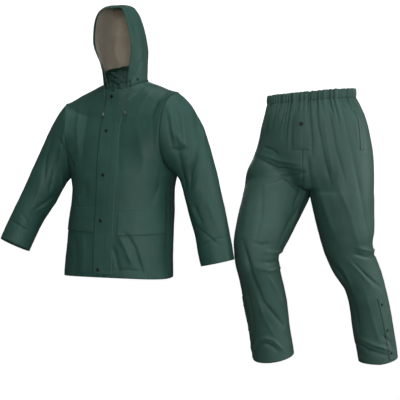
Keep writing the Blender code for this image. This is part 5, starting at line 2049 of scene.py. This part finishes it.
@dataclass
class TrouserTrim:
    """What lies on the trousers: the fly, the side opening, strips and snaps."""

    trousers: Trousers
    maker: Maker
    seat: Skin

    def fly_flap(self) -> Sheet:
        """The fly's flap down the middle front.

        Returns:
            The sheet.
        """
        left, right, low, high = self.trousers.fly
        rows, columns = 70, 20
        pairs = [[self.seat.at(mix(left, right, c / columns), mix(low, high, k / rows))
                  for c in range(columns + 1)] for k in range(rows + 1)]
        across = (np.arange(columns + 1) / columns)[None, :]
        up = (np.arange(rows + 1) / rows)[:, None]
        lift = 1.7 + 0.4 * np.sin(up * 9.0) * (1 - across)
        lift = lift * ease(up / 0.12 + 0.15) * (1 - 0.85 * ease((across - 0.3) / 0.7)) + 0.25
        return laid_sheet("fly_flap_cloth", Garment.TROUSERS, pairs,
                          np.broadcast_to(lift, (rows + 1, columns + 1)))

    def side_welt(self) -> Sheet:
        """The welt along the side opening.

        Returns:
            The sheet.
        """
        level = np.linspace(1.46, 1.84, 60)[:, None]
        spin = np.linspace(11.6, 12.7, 7)[None, :] / 32
        targets = self.trousers.hip(level, spin, 1)
        pairs = [[self.seat.near(t) for t in row] for row in targets]
        return laid_sheet("side_welt_cloth", Garment.TROUSERS, pairs, np.full((60, 7), 1.9))

    def ankle_strip(self, side: Side) -> Sheet:
        """The strip along the ankle opening at a leg's outer side.

        Args:
            side: The wearer's side.

        Returns:
            The sheet.
        """
        tube = Tube(self.trousers.legs[side.value], side.value, self.trousers.turn)
        at = np.linspace(0.012, 0.42, 80)[:, None]
        middle, half = self.trousers.ankle_spin, self.trousers.strip_half
        spin = np.linspace(middle - half, middle + half, 9)[None, :]
        pairs = [[self.seat.near(t) for t in row] for row in tube.point(at, spin)]
        return laid_sheet(f"ankle_strip_{side.word}_cloth", Garment.TROUSERS, pairs,
                          np.full((80, 9), 1.7), side is Side.RIGHT)


# Studio


@dataclass(frozen=True)
class Studio:
    """A plain pale floor that runs up all round, and soft light."""

    floor: float = -1062.0
    middle: float = 277.0
    reach: float = 12000.0
    bend: float = 2500.0
    height: float = 12000.0
    sides: int = 64
    bend_steps: int = 12
    aim: tuple[float, float, float] = (0.2775, 0.0, -0.35)
    room_even: float = 0.05
    room_glows: tuple[tuple[tuple[float, float, float], float], ...] = (
        ((-1.0, 0.0, 0.0), 0.03), ((0.0, 0.0, 1.0), 0.14),
    )
    lamps: tuple[tuple[str, tuple[float, float, float], float, float], ...] = (
        ("key_lamp", (5.6, -4.0, 2.2), 2.2, 75.0),
        ("side_lamp", (7.0, -0.5, 0.5), 2.5, 200.0),
        ("front_lamp", (0.3, -7.0, 0.3), 2.5, 200.0),
        ("low_lamp", (3.0, -6.0, -0.9), 2.5, 40.0),
        ("top_lamp", (0.5, -1.0, 5.0), 2.5, 125.0),
        ("back_lamp", (-0.6, 6.5, 1.6), 2.5, 110.0),
    )

    def backdrop(self) -> None:
        """The floor and its sweep."""
        profile = [(self.reach, self.floor)]
        for k in range(1, self.bend_steps + 1):
            a = math.pi / 2 * k / self.bend_steps
            profile.append((self.reach + self.bend * math.sin(a),
                            self.floor + self.bend * (1 - math.cos(a))))
        profile.append((self.reach + self.bend, self.floor + self.height))
        n = self.sides
        round_about = np.linspace(0, 2 * math.pi, n, endpoint=False)
        places = np.array([[self.middle + away * math.cos(a), away * math.sin(a), z]
                           for away, z in profile for a in round_about])
        faces = [list(range(n))]
        faces += [[n * i + k, n * i + (k + 1) % n, n * (i + 1) + (k + 1) % n, n * (i + 1) + k]
                  for i in range(len(profile) - 1) for k in range(n)]
        mesh = bpy.data.meshes.new("studio_floor")
        mesh.from_pydata((places * MM).tolist(), [], faces)
        mesh.polygons.foreach_set("use_smooth", np.ones(len(faces), bool))
        n = Nodes.material("studio_paint")
        cloud = n.texture("Noise", n.place(), Scale=0.7, Detail=2.0)
        n.ground.inputs["Emission Color"].default_value = WHITE
        n.ground.inputs["Roughness"].default_value = 0.9
        n.ground.inputs["Specular IOR Level"].default_value = 0.1
        n.ground.inputs["Emission Strength"].default_value = 1.0
        n.link(n.ramp(cloud, (0.90, 0.90, 0.90), (0.93, 0.93, 0.93)),
               n.ground.inputs["Base Color"])
        mesh.materials.append(n.owner)
        floor = bpy.data.objects.new("studio_floor", mesh)
        floor.visible_diffuse = floor.visible_glossy = floor.visible_shadow = False
        bpy.context.scene.collection.objects.link(floor)

    def lamp(self, name: str, place: tuple[float, float, float], size: float, watts: float
             ) -> None:
        """One soft square lamp aimed at the middle of the set.

        Args:
            name: The lamp's name.
            place: Where it stands, in metres.
            size: Its width, in metres.
            watts: Its power.
        """
        data = bpy.data.lights.new(name, "AREA")
        data.energy = watts
        data.size = size
        lamp = bpy.data.objects.new(name, data)
        lamp.location = place
        way = Vector(self.aim) - Vector(place)
        lamp.rotation_euler = way.to_track_quat("-Z", "Y").to_euler()
        bpy.context.scene.collection.objects.link(lamp)

    def light(self) -> None:
        """Set the room's light, stronger from the right and from above, and the lamps."""
        world = bpy.data.worlds.new("studio_room")
        n = Nodes(world, "Background")
        n.ground.inputs["Color"].default_value = WHITE
        way = n.add("ShaderNodeTexCoord").outputs["Generated"]
        total = self.room_even
        for side, bright in self.room_glows:
            share = n.add("ShaderNodeVectorMath", operation="DOT_PRODUCT")
            share.inputs[1].default_value = Vector(side).normalized()
            n.link(way, share.inputs[0])
            half = n.spread(share.outputs["Value"], 0.0, 1.0, -1.0, 1.0)
            total = n.math("MULTIPLY_ADD", n.math("POWER", half, 2.0), bright, total)
        n.link(total, n.ground.inputs["Strength"])
        bpy.context.scene.world = world
        for name, place, size, watts in self.lamps:
            self.lamp(name, place, size, watts)
        bpy.context.scene.view_settings.view_transform = "Standard"


def hood_edge(maker: Maker, sheet: Sheet, inset: float = 12.5) -> None:
    """The wavy edge of the seam allowance that stands into the hood along its crown.

    Args:
        maker: The maker.
        sheet: The hood half that carries it.
        inset: How far inside the cloth it runs, in millimetres.
    """
    seam = sheet.grid[:, -1]
    inwards = WALL + inset + Stir(1.5, 21.0, 5.5).over(seam)[:, None]
    sideways = Stir(3.5, 26.0, 9.1).over(seam)[:, None] * np.array([1.0, 0.0, 0.0])
    # The bead is drawn in the collar's darkened cloth: painted shade inside the hood.
    bead = Stitches("hood_seam_edge", maker.palette.collar, 3.0, 3.5, 1.7)
    bead.draw((seam - sheet.ways[:, -1] * inwards + sideways)[3:-2])
    ride(bead.make(), "rain_cloth", "hood_left")


def build_jacket(maker: Maker) -> None:
    """Args:
        maker: The maker.
    """
    jacket = Jacket()
    jacket.cut()
    sheets = jacket.sheets
    fronts = Skin([sheets["jacket_front_left_cloth"], sheets["jacket_front_right_cloth"]])
    hood = Skin([s for n, s in sheets.items() if n.startswith(("hood", "jacket_front"))])
    stitches = Stitches("jacket_stitches", maker.palette.thread)
    trim = JacketTrim(jacket, maker, fronts, hood)
    for word in ("left", "right"):
        trim.cord(word)
    hems = {"jacket_front": ("first",), "jacket_back": ("first",), "sleeve": ("last",),
            "hood": ("first",), "collar": ("last",)}
    for name, sheet in sheets.items():
        free = next(v for k, v in hems.items() if name.startswith(k))
        welt = ("right",) if name.startswith("hood") else ()
        piece = maker.cloth(sheet, HEM, free, welt=welt, both=name.startswith("collar"))
        declare(sheet, piece)
        for edge in free:
            stitches.draw(sheet.line(edge, HEM - 1.0))
    for name in ("jacket_front_left_cloth", "jacket_front_right_cloth"):
        edge = "right" if "left" in name else "left"
        stitches.draw(sheets[name].line(edge, 6.0)[:104])
    for word in ("left", "right"):
        stitches.draw(sheets[f"hood_{word}_cloth"].line("right", 5.0))
        stitches.draw(sheets[f"sleeve_{word}_cloth"].line("first", 5.0))
    hood_edge(maker, sheets["hood_left_cloth"])
    storm = trim.storm_flap()
    flaps = [trim.pocket_flap(side) for side in Side]
    for sheet in [storm] + flaps:
        piece = maker.cloth(sheet, 6.0, wall=TRIM_WALL, both=True)
        declare(sheet, piece)
    for edge in ("right", "left"):
        stitches.draw(storm.line(edge, 5.5))
    for sheet in flaps:
        for edge in sheet.edges:
            stitches.draw(sheet.line(edge, 5.0))
    storm_skin, collar_skin = Skin([storm]), Skin([sheets["collar_cloth"]])
    for k, spot in enumerate(jacket.snaps):
        snap(maker, f"flap_snap_{k + 1}", *storm_skin.at(*spot), FLAP_SNAP, 0.1)
    snap(maker, "hood_snap", *hood.at(*jacket.hood_snap), SMALL_SNAP, 0.2)
    snap(maker, "collar_snap", *collar_skin.at(*jacket.collar_snap), SMALL_SNAP, 0.2)
    ride(stitches.make(), "rain_cloth")


def tack_bar(maker: Maker, seat: Skin, z: float = -263.5) -> None:
    """The row of tight stitches that closes the foot of the side opening.

    Args:
        maker: The maker.
        seat: The cloth that it lies on.
        z: Its height, in millimetres.
    """
    first, last = (place + normal * 0.7 for place, normal in (seat.at(x, z) for x in (866, 892)))
    line = [seat.near(mix(first, last, t)) for t in np.linspace(0, 1, 30)]
    bar = Stitches("side_tack_bar", maker.palette.thread, 0.9, 5.6, 0.5)
    bar.draw(np.array([place + normal * 0.9 for place, normal in line]))
    ride(bar.make(), "rain_cloth", "side_tack")


def build_trousers(maker: Maker) -> None:
    """Args:
        maker: The maker.
    """
    trousers = Trousers()
    trousers.cut()
    sheets = trousers.sheets
    stitches = Stitches("trouser_stitches", maker.palette.thread)
    seat = Skin(list(sheets.values()))
    trim = TrouserTrim(trousers, maker, seat)
    for name, sheet in sheets.items():
        band = name.startswith("waist")
        piece = maker.cloth(sheet, trousers.band_height if band else HEM,
                            ("last",) if band else ("first",), both=band)
        declare(sheet, piece)
        if not band:
            stitches.draw(sheet.line("first", HEM - 1.0))
    extra = [trim.fly_flap(), trim.side_welt()] + [trim.ankle_strip(side) for side in Side]
    for sheet in extra:
        piece = maker.cloth(sheet, 5.0, wall=TRIM_WALL, both=True)
        declare(sheet, piece)
        for edge in ("left", "right"):
            stitches.draw(sheet.line(edge, 2.6 if "fly" not in sheet.name else 4.5))
    fly = extra[0]
    stitches.draw(fly.line("first", 4.5))
    snap(maker, "fly_button", *Skin([fly]).at(*trousers.button), FLY_BUTTON, 0.1)
    tack_bar(maker, seat)
    for side, strip in zip(Side, extra[2:]):
        skin = Skin([strip])
        tube = Tube(trousers.legs[side.value], side.value, trousers.turn)
        for k, level in enumerate(trousers.ankle_snaps):
            seat_place = skin.near(tube.point(level, trousers.ankle_spin))
            snap(maker, f"ankle_snap_{side.word}_{k + 1}", *seat_place, SMALL_SNAP, 0.1)
    ride(stitches.make(), "rain_cloth")


def main() -> None:
    """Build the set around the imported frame."""
    logging.basicConfig(level=logging.INFO, format="%(message)s")
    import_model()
    SIGHT.camera()
    maker = Maker(Palette.mixed())
    build_jacket(maker)
    build_trousers(maker)
    studio = Studio()
    studio.backdrop()
    studio.light()


if __name__ == "__main__":
    main()
